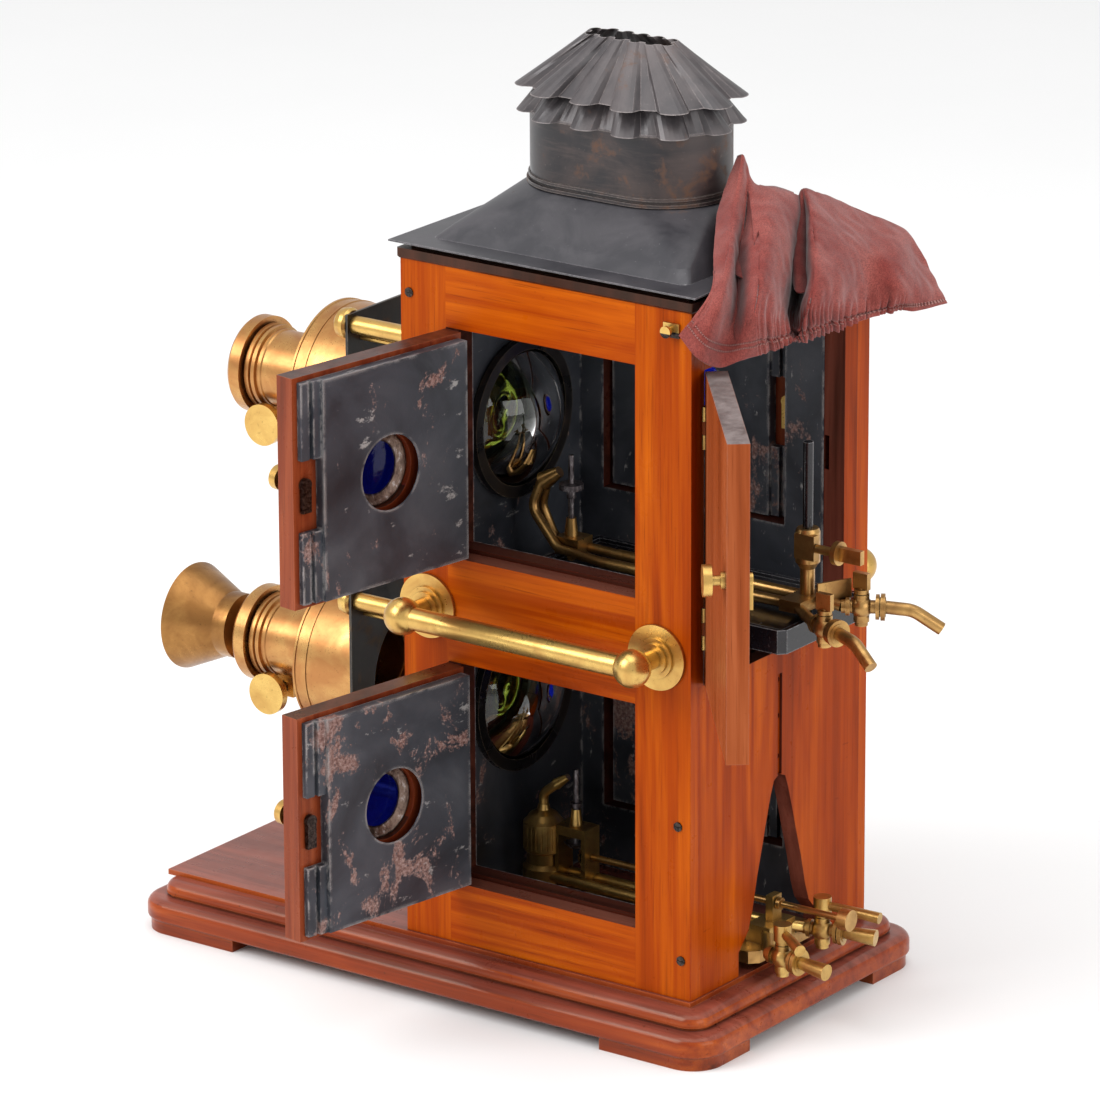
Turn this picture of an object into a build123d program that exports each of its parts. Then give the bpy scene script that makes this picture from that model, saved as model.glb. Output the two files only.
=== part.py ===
"""A two-lens (biunial) magic lantern of about 1890, modelled as separate pieces.

Millimetres.  +Z is up, the lenses point along -Y and the burners are fed from +Y.
The origin is on the table, under the middle of the wooden body.
"""
import os
from math import atan2, cos, degrees, hypot, pi, radians, sin, sqrt

from build123d import *

# ---- driving sizes --------------------------------------------------------
FOOT_H = 9.0                # height of the corner feet
BASE_H = 31.0               # thickness of the moulded base board
BODY_W = 219.0              # width of the wooden body, X
BODY_D = 247.0              # depth of the wooden body, Y
BODY_H = 500.0              # height of the wooden body, Z
DOOR_T = 15.0               # wooden side door thickness
WALL = DOOR_T + 0.5         # outer frame thickness
STOP = 15.0                 # inner stop frame thickness
REAR_T = 12.5               # rear panel thickness
FRONT_T = 18.0              # front board thickness
UPPER_AXIS = 360.5          # upper lens axis above the base
LOWER_AXIS = 154.0          # lower lens axis above the base
FIT = 0.08                  # radial clearance of every turning or sliding fit
GAP = 0.8                   # gap round a closed door
SHEET = 1.0                 # tin plate thickness

BASE_TOP = FOOT_H + BASE_H
HALF_W = BODY_W / 2
HALF_D = BODY_D / 2
INNER_X = HALF_W - WALL             # outer frame inner face
CHAMBER_X = INNER_X - STOP          # stop frame inner face
BODY_TOP = BASE_TOP + BODY_H
LENS_Z = {"upper": BASE_TOP + UPPER_AXIS, "lower": BASE_TOP + LOWER_AXIS}

# side door openings, above the base
DOOR_Y0 = -HALF_D + 38.9
DOOR_Y1 = HALF_D - 47.0
DOOR_Z = {"upper": (BASE_TOP + 288.3, BODY_TOP - 44.0),
          "lower": (BASE_TOP + 45.0, BASE_TOP + 211.0)}
DOOR_OPEN = 99.6            # how far the near doors stand open
HINGE_Y = DOOR_Y0 + 0.4
KNUCKLE_R = 3.0
PIN_R = 1.2
HINGE_LEN = 30.0
SIGHT_R = 27.0              # sight hole through the liner
SIGHT_Y = (DOOR_Y0 + DOOR_Y1) / 2 - 3.95
CATCH_Y = DOOR_Y1 - 10.5              # turn-catch spindle
CATCH_DZ = 6.0
SPINDLE_R = 2.4
TONGUE_LEN = 20.0

# rear
PANEL_TOP = BASE_TOP + 229.5
REAR_HEAD = BODY_TOP - 43.5
REAR_DOOR_Z = (PANEL_TOP + 1.5, REAR_HEAD - 0.9)
REAR_DOOR_T = 15.5
REAR_DOOR_OPEN = 140.3
REAR_HINGE_X = INNER_X - 0.5
POST_X = -CHAMBER_X
REAR_FREE_X = POST_X + 3.0
REAR_CATCH_X = REAR_FREE_X + 13.0
REAR_CATCH_Z = (REAR_DOOR_Z[0] + REAR_DOOR_Z[1]) / 2 + 13.7

# lens fronts
CONDENSER_R = 51.0          # condenser glass, a four-inch lens
TUBE_R = 26.4               # sliding lens tube
CELL_R = CONDENSER_R + 5.0
CELL_RIM = -HALF_D + 21.5   # back rim of a condenser cell
DRUM_R = CONDENSER_R + 8.25
DRUM_FRONT = -HALF_D - 140.0
STAGE_Y = -HALF_D - 71.5
SLEEVE_R = TUBE_R + 1.6
SLEEVE_END = DRUM_FRONT - 62.5
TUBE_END = DRUM_FRONT + 38.5    # inner end of a sliding tube
FLANGE_R = TUBE_R + 9.6
PINION_Y = SLEEVE_END + 14.0
PINION_DZ = TUBE_R + 9.6
PINION_PITCH = 6.5
PINION_TEETH = 13

# burners
FLOOR_TOP = BASE_TOP + 246.5
TRAY_TOP = FLOOR_TOP + 17.5
FLOOR_T = 20.0
UPPER_ROD = (0.0, HALF_D + 22.5)
LOWER_SPINDLE = (0.0, -HALF_D + 70.5)
UPPER_SPINDLE = (0.0, -HALF_D + 67.0)

os.makedirs("parts", exist_ok=True)


def save(name, shape):
    """Write one sub-part."""
    export_step(shape, f"parts/{name}.step")


# ---- small shape helpers --------------------------------------------------
def block(x0, x1, y0, y1, z0, z1):
    """Box between two corners."""
    mid = Pos((x0 + x1) / 2, (y0 + y1) / 2, (z0 + z1) / 2)
    return mid * Box(abs(x1 - x0), abs(y1 - y0), abs(z1 - z0))


def rod_z(x, y, z0, z1, r):
    """Upright cylinder."""
    return Pos(x, y, (z0 + z1) / 2) * Cylinder(r, abs(z1 - z0))


def rod_y(x, z, y0, y1, r):
    """Cylinder along Y."""
    return Pos(x, (y0 + y1) / 2, z) * Rot(90, 0, 0) * Cylinder(r, abs(y1 - y0))


def rod_x(y, z, x0, x1, r):
    """Cylinder along X."""
    return Pos((x0 + x1) / 2, y, z) * Rot(0, 90, 0) * Cylinder(r, abs(x1 - x0))


def rod_between(p, q, r):
    """Cylinder from one point to another."""
    return taper_between(p, q, r, r)


def taper_between(p, q, r0, r1):
    """Cone or cylinder from one point to another."""
    p = Vector(*p)
    q = Vector(*q)
    plane = Plane(origin=p, z_dir=(q - p).normalized())
    length = (q - p).length
    if abs(r0 - r1) < 1e-6:
        return plane * Pos(0, 0, length / 2) * Cylinder(r0, length)
    return plane * Pos(0, 0, length / 2) * Cone(r0, r1, length)


def turned_y(profile, x, z):
    """Solid turned about an axis along Y; the profile holds (radius, y) pairs."""
    face = make_face(Polyline(*profile, close=True))
    return Pos(x, 0, z) * revolve(face, Axis.Y, 360)


def turned_z(profile, x, y):
    """Solid turned about an upright axis; the profile holds (radius, z) pairs."""
    points = [(r, 0, z) for r, z in profile]
    face = make_face(Polyline(*points, close=True))
    return Pos(x, y, 0) * revolve(face, Axis.Z, 360)


def bent_pipe(points, r, bend):
    """Pipe through a run of points, with rounded bends."""
    path = FilletPolyline(*points, radius=bend)
    start = Plane(origin=path @ 0, z_dir=path % 0)
    return sweep(start * Circle(r), path=path, transition=Transition.ROUND)


def slab(width, depth, radius, z0, z1, y_mid=0.0):
    """Flat plate with rounded corners."""
    return Pos(0, y_mid, z0) * extrude(RectangleRounded(width, depth, radius), z1 - z0)


def mirrored(shape):
    """The same shape on the far side."""
    return mirror(shape, about=Plane.YZ)


def turn_about(shape, x, y, angle):
    """Turn a shape about an upright axis."""
    return Pos(x, y, 0) * Rot(0, 0, angle) * Pos(-x, -y, 0) * shape


# ---- base -----------------------------------------------------------------
BASE_HALF_X = HALF_W + 30.5
BASE_FRONT = -HALF_D - 228.5
BASE_BACK = HALF_D + 31.5
BASE_TOP_X = HALF_W + 2.5
BASE_TOP_FRONT = BASE_FRONT + 11.0
BASE_TOP_BACK = HALF_D + 1.5
BASE_CORNER = 26.0


def base_board():
    mid = (BASE_FRONT + BASE_BACK) / 2
    long = BASE_BACK - BASE_FRONT
    bead = slab(2 * BASE_HALF_X, long, BASE_CORNER, FOOT_H, FOOT_H + 16)
    bead = fillet(bead.faces().sort_by(Axis.Z)[-1].edges(), 7.0)
    bead = fillet(bead.faces().sort_by(Axis.Z)[0].edges(), 3.0)
    cover = slab(2 * BASE_HALF_X - 30, long - 30, 14, FOOT_H + 14, FOOT_H + 18)
    ovolo = slab(2 * BASE_HALF_X - 26, long - 26, 16, FOOT_H + 18, BASE_TOP - 3.5)
    ovolo = fillet(ovolo.faces().sort_by(Axis.Z)[-1].edges(), 8.0)
    board = Pos(0, mid, 0) * (bead + cover + ovolo)
    top = block(-BASE_TOP_X, BASE_TOP_X, BASE_TOP_FRONT, BASE_TOP_BACK,
                BASE_TOP - 4, BASE_TOP)
    return board + top


def base_feet():
    inset = 2.5
    mid = (BASE_FRONT + BASE_BACK) / 2
    outline = slab(2 * (BASE_HALF_X - inset), BASE_BACK - BASE_FRONT - 2 * inset,
                   BASE_CORNER - inset, 0, FOOT_H)
    outline = Pos(0, mid, 0) * outline
    feet = []
    arm_x = 62.0
    arm_y = 90.0
    for x0, x1 in ((-BASE_HALF_X, -BASE_HALF_X + arm_x), (BASE_HALF_X - arm_x, BASE_HALF_X)):
        for y0, y1 in ((BASE_FRONT, BASE_FRONT + arm_y), (BASE_BACK - arm_y, BASE_BACK)):
            feet.append(outline & block(x0, x1, y0, y1, 0, FOOT_H))
    return Compound(feet)


# ---- wooden case ----------------------------------------------------------
def hinge_scoops(x, y, heights, r):
    """Cylinders that clear the hinge knuckles."""
    return [rod_z(x, y, z - HINGE_LEN / 2 - 0.5, z + HINGE_LEN / 2 + 0.5, r)
            for z in heights]


def door_hinge_heights(level):
    z0, z1 = DOOR_Z[level]
    return (z0 + 32.0, z1 - 32.0)


def catch_height(level):
    """Height of a side door's catch."""
    return (DOOR_Z[level][0] + DOOR_Z[level][1]) / 2 + CATCH_DZ


REAR_HINGE_HEIGHTS = (REAR_DOOR_Z[0] + 40.0, REAR_DOOR_Z[1] - 40.0)


STOP_LIP = 3.0              # how far the stop frame shows inside a door opening
MORTISE_DEEP = 4.2          # room in the stops for a catch tongue


def side_frame():
    """The near side wall: stiles and rails, and the darker stops planted inside them."""
    stop_back = HALF_D - REAR_DOOR_T - 1.5
    stop_front = -HALF_D + FRONT_T
    edge = DOOR_Y1 - STOP_LIP
    low, high = DOOR_Z["lower"], DOOR_Z["upper"]
    front = block(INNER_X, HALF_W, -HALF_D, DOOR_Y0, BASE_TOP, BODY_TOP)
    back = block(INNER_X, HALF_W, DOOR_Y1, HALF_D, BASE_TOP, BODY_TOP)
    for level in ("upper", "lower"):
        heights = door_hinge_heights(level)
        for scoop in hinge_scoops(HALF_W, HINGE_Y, heights, KNUCKLE_R + 0.5):
            front -= scoop
        for z in heights:
            front -= block(HALF_W - 12.5, HALF_W + 1, DOOR_Y0 - 1.5, DOOR_Y0 + 1,
                           z - HINGE_LEN / 2, z + HINGE_LEN / 2)
    # rebate for the rear panel
    back -= block(INNER_X - 1, HALF_W - 9.5, HALF_D - REAR_T, HALF_D + 1,
                  BASE_TOP - 1, PANEL_TOP)
    members = [front, back]
    for z0, z1 in ((BASE_TOP, low[0]), (low[1], high[0]), (high[1], BODY_TOP)):
        members.append(block(INNER_X, HALF_W, DOOR_Y0, DOOR_Y1, z0, z1))
    for z0, z1 in ((BASE_TOP, low[0] + STOP_LIP), (low[1] - STOP_LIP, high[0] + STOP_LIP),
                   (high[1] - STOP_LIP, BODY_TOP)):
        members.append(block(CHAMBER_X, INNER_X, DOOR_Y0, edge, z0, z1))
    members.append(block(CHAMBER_X, INNER_X, stop_front, DOOR_Y0, BASE_TOP, BODY_TOP))
    members.append(block(CHAMBER_X, INNER_X - MORTISE_DEEP, edge, stop_back, BASE_TOP, BODY_TOP))
    catch_low, catch_high = catch_height("lower"), catch_height("upper")
    for z0, z1 in ((BASE_TOP, catch_low - 22), (catch_low + 10, catch_high - 22),
                   (catch_high + 10, BODY_TOP)):
        members.append(block(INNER_X - MORTISE_DEEP, INNER_X, edge, stop_back, z0, z1))
    return members


def side_frame_right():
    members = side_frame()
    back = members[1]
    for scoop in hinge_scoops(REAR_HINGE_X, HALF_D, REAR_HINGE_HEIGHTS, KNUCKLE_R + 0.5):
        back -= scoop
    for z in REAR_HINGE_HEIGHTS:
        back -= block(INNER_X - 1, INNER_X + 1.5, HALF_D - 12.5, HALF_D + 1,
                      z - HINGE_LEN / 2, z + HINGE_LEN / 2)
    members[1] = back
    return members


def side_frame_left():
    return [mirrored(member) for member in side_frame()]


def front_board():
    board = block(-INNER_X, INNER_X, -HALF_D, -HALF_D + FRONT_T, BASE_TOP, BODY_TOP)
    for z in LENS_Z.values():
        board -= rod_y(0, z, -HALF_D - 1, -HALF_D + FRONT_T + 1, CELL_R)
    return board


def arch_outline():
    """Half-width of the burner arch at each height above the base."""
    return [(50, -1), (50, 18), (38, 31), (33, 45), (27.5, 68), (20, 93), (17, 104),
            (11, 124), (7, 134), (0, 137.5)]


def rear_frame():
    """Lower panel with its arch, catch-side post and top rail."""
    panel = block(-(HALF_W - 9.5), HALF_W - 9.5, HALF_D - REAR_T, HALF_D, BASE_TOP, PANEL_TOP)
    side = arch_outline()
    right = [(x, BASE_TOP + z) for x, z in side]
    left = [(-x, BASE_TOP + z) for x, z in reversed(side[:-1])]
    outline = Plane.XZ * make_face(Polyline(*(right + left), close=True))
    panel -= Pos(0, HALF_D + 5, 0) * extrude(outline, 30, both=False)
    groove = block(-2.5, 2.5, HALF_D - 2, HALF_D + 1, BASE_TOP + 137, BASE_TOP + 212)
    panel -= groove
    for z in (150, 180, 207):
        panel -= rod_y(0, BASE_TOP + z, HALF_D - 6, HALF_D + 1, 2.0)
    post = block(-INNER_X, POST_X, HALF_D - REAR_DOOR_T - 11, HALF_D, PANEL_TOP,
                 REAR_HEAD)
    post -= block(-INNER_X - 1, POST_X + 1, HALF_D - REAR_DOOR_T - 12, HALF_D - REAR_DOOR_T - 1.5,
                  PANEL_TOP - 1, BODY_TOP)
    catch_z = REAR_CATCH_Z
    post -= block(POST_X - 9, POST_X + 1, HALF_D - REAR_DOOR_T - 5, HALF_D - REAR_DOOR_T + 2.5,
                  catch_z - 18, catch_z + 7)
    rail = block(-INNER_X, INNER_X, HALF_D - REAR_DOOR_T, HALF_D, REAR_HEAD, BODY_TOP)
    return panel + post + rail


def chamber_floor():
    """Board between the two lamp chambers, with two side flues."""
    y1 = HALF_D - REAR_DOOR_T - 1.5
    floor = block(-CHAMBER_X, CHAMBER_X, -HALF_D + FRONT_T, y1, FLOOR_TOP - FLOOR_T, FLOOR_TOP)
    for side in (-1, 1):
        floor -= block(side * (CHAMBER_X - 21), side * (CHAMBER_X - 5), -HALF_D + 63.5,
                       HALF_D - 63.5, FLOOR_TOP - FLOOR_T - 1, FLOOR_TOP + 1)
    return floor


def tin_lining():
    """Thin sheets on the front wall and round the doors of each chamber."""
    y0 = -HALF_D + FRONT_T
    sheets = []
    for level, (low, high) in (("lower", (BASE_TOP, FLOOR_TOP - FLOOR_T)),
                               ("upper", (FLOOR_TOP, BODY_TOP))):
        front = block(-CHAMBER_X, CHAMBER_X, y0, y0 + SHEET, low, high)
        sheets.append(front - rod_y(0, LENS_Z[level], y0 - 1, y0 + 3, CELL_R + FIT))
        z0, z1 = DOOR_Z[level]
        for side in (-1, 1):
            sheet = block(side * (CHAMBER_X - SHEET), side * CHAMBER_X, y0 + SHEET, HALF_D - 17.5,
                          low, high)
            sheets.append(sheet - block(side * (CHAMBER_X - 2), side * (CHAMBER_X + 1), DOOR_Y0,
                                        DOOR_Y1 - STOP_LIP, z0 + STOP_LIP, z1 - STOP_LIP))
    return Compound(sheets)


def top_moulding():
    """Moulded strip round the head of the body, under the tin roof."""
    strip = slab(BODY_W + 4, BODY_D + 4, 1.5, BODY_TOP, BODY_TOP + 7.5)
    strip = chamfer(strip.faces().sort_by(Axis.Z)[0].edges(), 1.4)
    strip += block(-HALF_W + 5.5, HALF_W - 5.5, -HALF_D + 5.5, HALF_D - 5.5, BODY_TOP + 7, ROOF_Z)
    return strip - block(-HALF_W + 25.5, HALF_W - 25.5, -HALF_D + 25.5, HALF_D - 25.5,
                         BODY_TOP - 1, ROOF_Z + 1)


def rosette(y, z):
    """Screwed brass rosette with a raised boss."""
    x = HALF_W
    plate = rod_x(y, z, x, x + 2.4, 23.5)
    plate += rod_x(y, z, x + 2.4, x + 4.4, 14.5)
    plate += rod_x(y, z, x + 4.4, x + 6.4, 11.0)
    return plate


RAIL_X = HALF_W + 30.5
RAIL_Z = (DOOR_Z["lower"][1] + DOOR_Z["upper"][0]) / 2 - 0.65
RAIL_ENDS = (-HALF_D + 21.7, HALF_D - 28.0)


def handrails():
    rail = rod_y(RAIL_X, RAIL_Z, RAIL_ENDS[0], RAIL_ENDS[1], 8.2)
    for y in RAIL_ENDS:
        rail += rosette(y, RAIL_Z)
        rail += rod_x(y, RAIL_Z, HALF_W + 6, RAIL_X, 6.8)
        rail += Pos(RAIL_X, y, RAIL_Z) * Sphere(13.5)
    return Compound([rail, mirrored(rail)])


def round_screw(y, z):
    """Round-headed wood screw, head outside and shank in the frame."""
    x = HALF_W
    head = rod_x(y, z, x, x + 1.0, 3.4) + rod_x(y, z, x - 6, x, 1.6)
    return head - block(x + 0.4, x + 2, y - 4, y + 4, z - 0.4, z + 0.4)


SCREWS = ((-HALF_D + 7.5, BODY_H - 24.0), (HALF_D - 10.5, 128.0), (HALF_D - 7.9, 29.0),
          (-HALF_D + 7.5, 30.0))


def case_screws():
    screws = []
    for y, z in SCREWS:
        screw = round_screw(y, BASE_TOP + z)
        screws += [screw, mirrored(screw)]
    return Compound(screws)


def with_screw_holes(frame, side):
    """Bore the frame for the screw shanks."""
    members = []
    for member in frame:
        for y, z in SCREWS:
            member -= rod_x(y, BASE_TOP + z, side * (HALF_W - 6.2), side * (HALF_W + 1), 1.6)
        members.append(member)
    return Compound(members)


# ---- hinges ---------------------------------------------------------------
def fixed_hinge(x, y, z, along_x):
    """Fixed half of a butt hinge: two knuckles, a leaf and the pin."""
    half = HINGE_LEN / 2
    third = HINGE_LEN / 6
    hinge = rod_z(x, y, z - half, z - third, KNUCKLE_R)
    hinge += rod_z(x, y, z + third, z + half, KNUCKLE_R)
    hinge += rod_z(x, y, z - half, z + half, PIN_R)
    if along_x:
        leaf = block(INNER_X, INNER_X + 1.5, HALF_D - 12.5, HALF_D, z - half, z + half)
    else:
        leaf = block(HALF_W - 12.5, HALF_W, DOOR_Y0 - 1.5, DOOR_Y0, z - half, z + half)
    leaf -= rod_z(x, y, z - third - 0.2, z + third + 0.2, KNUCKLE_R + 0.4)
    return hinge + leaf


def door_hinges():
    hinges = []
    for level in ("upper", "lower"):
        for z in door_hinge_heights(level):
            hinge = fixed_hinge(HALF_W, HINGE_Y, z, False)
            hinges += [hinge, mirrored(hinge)]
    for z in REAR_HINGE_HEIGHTS:
        hinges.append(fixed_hinge(REAR_HINGE_X, HALF_D, z, True))
    return Compound(hinges)


def hinge_edge(panel, x, y, heights):
    """Give a door its own knuckles round the hinge pins."""
    third = HINGE_LEN / 6 - 0.3
    for scoop in hinge_scoops(x, y, heights, KNUCKLE_R + 0.4):
        panel -= scoop
    for z in heights:
        panel += rod_z(x, y, z - third, z + third, KNUCKLE_R)
    for z in heights:
        panel -= rod_z(x, y, z - HINGE_LEN, z + HINGE_LEN, PIN_R + FIT)
    return panel


# ---- side doors (built shut on the near side) ------------------------------
def side_door(level):
    z0, z1 = DOOR_Z[level]
    mid = (z0 + z1) / 2
    x0 = HALF_W - DOOR_T
    panel = block(x0, HALF_W, DOOR_Y0 + GAP, DOOR_Y1 - GAP, z0 + GAP, z1 - GAP)
    panel -= rod_x(SIGHT_Y, mid, x0 - 1, HALF_W - 4, SIGHT_R)
    panel -= rod_x(SIGHT_Y, mid, HALF_W - 5, HALF_W + 1, SIGHT_R - 4.5)
    panel -= rod_x(CATCH_Y, mid + CATCH_DZ, x0 - 1, HALF_W + 1, SPINDLE_R + FIT)
    # knuckles stand in their own notches and reach the wood by a short tail
    heights = door_hinge_heights(level)
    third = HINGE_LEN / 6 - 0.3
    for scoop in hinge_scoops(HALF_W, HINGE_Y, heights, KNUCKLE_R + 0.4):
        panel -= scoop
    for z in heights:
        panel += rod_z(HALF_W, HINGE_Y, z - third, z + third, KNUCKLE_R)
        panel += block(HALF_W - 2.5, HALF_W, HINGE_Y, HINGE_Y + 8, z - third, z + third)
        panel -= rod_z(HALF_W, HINGE_Y, z - HINGE_LEN / 2 - 1, z + HINGE_LEN / 2 + 1, PIN_R + FIT)
    return panel


LINER_DEPTH = 8.5
FOLD_Y = DOOR_Y1 - 22.0


def door_liner(level):
    """Folded tin box on the inside of a door, with two ribs along the free edge."""
    z0, z1 = DOOR_Z[level]
    mid = (z0 + z1) / 2
    face_x = HALF_W - DOOR_T
    low = z0 + 4.5
    high = z1 - 4.5
    y0 = DOOR_Y0 + 3
    box = block(face_x - LINER_DEPTH, face_x, y0, FOLD_Y, low, high)
    box -= block(face_x - LINER_DEPTH + SHEET, face_x + 1, y0 + SHEET, FOLD_Y - SHEET,
                 low + SHEET, high - SHEET)
    rib = block(face_x - 6.0, face_x, FOLD_Y, FOLD_Y + 7, low, high)
    rib += block(face_x - 2.4, face_x, FOLD_Y + 7, FOLD_Y + 9.5, low, high)
    rib += block(face_x - 4.4, face_x, FOLD_Y + 9.5, FOLD_Y + 16.5, low, high)
    notch_z = mid + CATCH_DZ - 8
    rib -= block(face_x - 9, face_x + 1, FOLD_Y + 0.01, FOLD_Y + 20, notch_z - 26, notch_z + 26)
    box += rib
    box -= rod_x(SIGHT_Y, mid, face_x - 20, face_x + 1, SIGHT_R)
    return box


def door_glass(level):
    """Blue sight glass with its metal ring, bedded behind the outer face."""
    z0, z1 = DOOR_Z[level]
    mid = (z0 + z1) / 2
    return rod_x(SIGHT_Y, mid, HALF_W - 6.5, HALF_W - 4, SIGHT_R)


def door_catch(level):
    """Turn-catch: brass knob outside, spindle, and a tongue inside."""
    z = catch_height(level)
    x_in = HALF_W - DOOR_T
    catch = rod_x(CATCH_Y, z, x_in - 3.6, HALF_W + 6, SPINDLE_R)
    catch += rod_x(CATCH_Y, z, HALF_W + 0.1, HALF_W + 1.6, 5.5)
    catch += rod_x(CATCH_Y, z, HALF_W + 5, HALF_W + 11, 8.75)
    catch += rod_x(CATCH_Y, z, x_in - 3.8, x_in - 0.2, 4.6)
    catch += block(x_in - 3.8, x_in - 0.8, CATCH_Y - 4, CATCH_Y + 4, z - TONGUE_LEN, z)
    return catch


def place_right(shape):
    """Swing a near door to where it stands open."""
    return turn_about(shape, HALF_W, HINGE_Y, -DOOR_OPEN)


# ---- rear door (built shut) -------------------------------------------------


def rear_door():
    z0, z1 = REAR_DOOR_Z
    y0 = HALF_D - REAR_DOOR_T
    panel = block(REAR_FREE_X, REAR_HINGE_X - 0.5, y0, HALF_D, z0, z1)
    panel -= rod_y(REAR_CATCH_X, REAR_CATCH_Z, y0 - 1, HALF_D + 1, SPINDLE_R + FIT)
    third = HINGE_LEN / 6 - 0.3
    for scoop in hinge_scoops(REAR_HINGE_X, HALF_D, REAR_HINGE_HEIGHTS, KNUCKLE_R + 0.4):
        panel -= scoop
    for z in REAR_HINGE_HEIGHTS:
        panel += rod_z(REAR_HINGE_X, HALF_D, z - third, z + third, KNUCKLE_R)
        panel += block(REAR_HINGE_X - 8, REAR_HINGE_X, HALF_D - 2.5, HALF_D, z - third, z + third)
        panel -= rod_z(REAR_HINGE_X, HALF_D, z - HINGE_LEN / 2 - 1, z + HINGE_LEN / 2 + 1,
                       PIN_R + FIT)
    return turn_about(panel, REAR_HINGE_X, HALF_D, -REAR_DOOR_OPEN)


def rear_door_catch():
    y0 = HALF_D - REAR_DOOR_T
    x = REAR_CATCH_X
    z = REAR_CATCH_Z
    catch = rod_y(x, z, y0 - 3.4, HALF_D + 8, SPINDLE_R)
    catch += rod_y(x, z, HALF_D + 0.1, HALF_D + 3, 6.0)
    catch += rod_y(x, z, HALF_D + 3, HALF_D + 9, 3.6)
    catch += rod_y(x, z, HALF_D + 9, HALF_D + 15, 11.0)
    catch += rod_y(x, z, y0 - 3.2, y0 - 0.2, 5.0)
    catch += block(x - 4, x + 4, y0 - 3.2, y0 - 0.2, z - TONGUE_LEN, z)
    return turn_about(catch, REAR_HINGE_X, HALF_D, -REAR_DOOR_OPEN)


# ---- condensers -------------------------------------------------------------
def condenser_cells():
    """Brass cells screwed through the front wall, one for each lens."""
    cells = []
    front = -HALF_D - BACK_PLATE_T
    rim = CELL_RIM
    for z in LENS_Z.values():
        cell = rod_y(0, z, front, rim + 4, CELL_R - FIT) - rod_y(0, z, front - 1, rim + 12, CONDENSER_R)
        cell += rod_y(0, z, rim, rim + 5, CELL_R + 2) - rod_y(0, z, rim - 1, rim + 6, CONDENSER_R - 1.5)
        cell += rod_y(0, z, front, front + 1.5, CONDENSER_R + 1) - rod_y(
            0, z, front - 1, front + 3, CONDENSER_R - 1.5)
        cells.append(cell)
    return Compound(cells)


def bulge(y_flat, y_peak, radius):
    """Profile of a plano-convex glass, as (radius, y) pairs."""
    rise = y_peak - y_flat
    points = [(0, y_flat), (radius, y_flat)]
    rim = y_flat + 0.12 * rise
    steps = 10
    for i in range(steps + 1):
        t = i / steps
        points.append((radius * (1 - t), rim + (y_peak - rim) * (1 - (1 - t) ** 2)))
    return points


def condenser_glasses():
    """Two plano-convex lenses in each cell, their curved faces outwards."""
    glasses = []
    for z in LENS_Z.values():
        glasses.append(turned_y(bulge(CELL_RIM, CELL_RIM + 26, CONDENSER_R - 1.5 - FIT), 0, z))
        glasses.append(rod_y(0, z, -HALF_D - 1.5, -HALF_D + 10.5, CONDENSER_R - FIT))
    return Compound(glasses)


# ---- slide stages ------------------------------------------------------------
STAGE_HALF = DRUM_R + 18.75
PILLAR_X = STAGE_HALF - 9.0
PILLAR_DZ = STAGE_HALF - 9.0
BACK_PLATE_T = 3.0


def stage_plates():
    """Blackened iron plates: one on the body front and one behind the drum."""
    plates = []
    back = -HALF_D - BACK_PLATE_T
    for z in LENS_Z.values():
        rear = block(-HALF_W + 6.5, HALF_W - 6.5, back, -HALF_D, z - STAGE_HALF - 6,
                     z + STAGE_HALF + 6)
        rear -= rod_y(0, z, back - 1, -HALF_D + 1, CELL_R)
        front = block(-STAGE_HALF, STAGE_HALF, STAGE_Y - 2, STAGE_Y, z - STAGE_HALF,
                      z + STAGE_HALF)
        front -= rod_y(0, z, STAGE_Y - 3, STAGE_Y + 1, CONDENSER_R)
        for x in (-PILLAR_X, PILLAR_X):
            for dz in (-PILLAR_DZ, PILLAR_DZ):
                rear -= rod_y(x, z + dz, back - 1, -HALF_D + 1, 3.0)
                front -= rod_y(x, z + dz, STAGE_Y - 3, STAGE_Y + 1, 3.0)
        plates += [rear, front]
    return Compound(plates)


def stage_pillars():
    """Brass pillars between the plates, each with a turned nut in front."""
    pillars = []
    back = -HALF_D - BACK_PLATE_T
    for z in LENS_Z.values():
        for x in (-PILLAR_X, PILLAR_X):
            for dz in (-PILLAR_DZ, PILLAR_DZ):
                pillar = rod_y(x, z + dz, back, STAGE_Y, 6.5)
                pillar += rod_y(x, z + dz, STAGE_Y - 8, -HALF_D, 3.0)
                pillar += turned_y([(0, STAGE_Y - 14), (7, STAGE_Y - 14), (10.5, STAGE_Y - 11),
                                    (11.5, STAGE_Y - 7), (11.5, STAGE_Y - 4),
                                    (10, STAGE_Y - 2), (0, STAGE_Y - 2)], x, z + dz)
                pillars.append(pillar)
    return Compound(pillars)


def slide_springs():
    """Bowed brass springs that press a slide against the back plate."""
    springs = []
    back = -HALF_D - BACK_PLATE_T
    for z in LENS_Z.values():
        for x in (-PILLAR_X + 7, PILLAR_X - 7):
            wire = rod_z(x, back - 22, z - PILLAR_DZ + 9, z + PILLAR_DZ - 9, 1.8)
            wire += rod_y(x, z - PILLAR_DZ + 11, STAGE_Y, back - 20, 1.8)
            wire += rod_y(x, z + PILLAR_DZ - 11, STAGE_Y, back - 20, 1.8)
            springs.append(wire)
            leaf = block(x - 9, x + 9, STAGE_Y, STAGE_Y + 1.2, z - 46, z - 20)
            leaf += Pos(x, STAGE_Y + 11, z - 20) * Rot(-35, 0, 0) * Box(18, 1.2, 1)
            springs.append(leaf)
    return Compound(springs)


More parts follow.
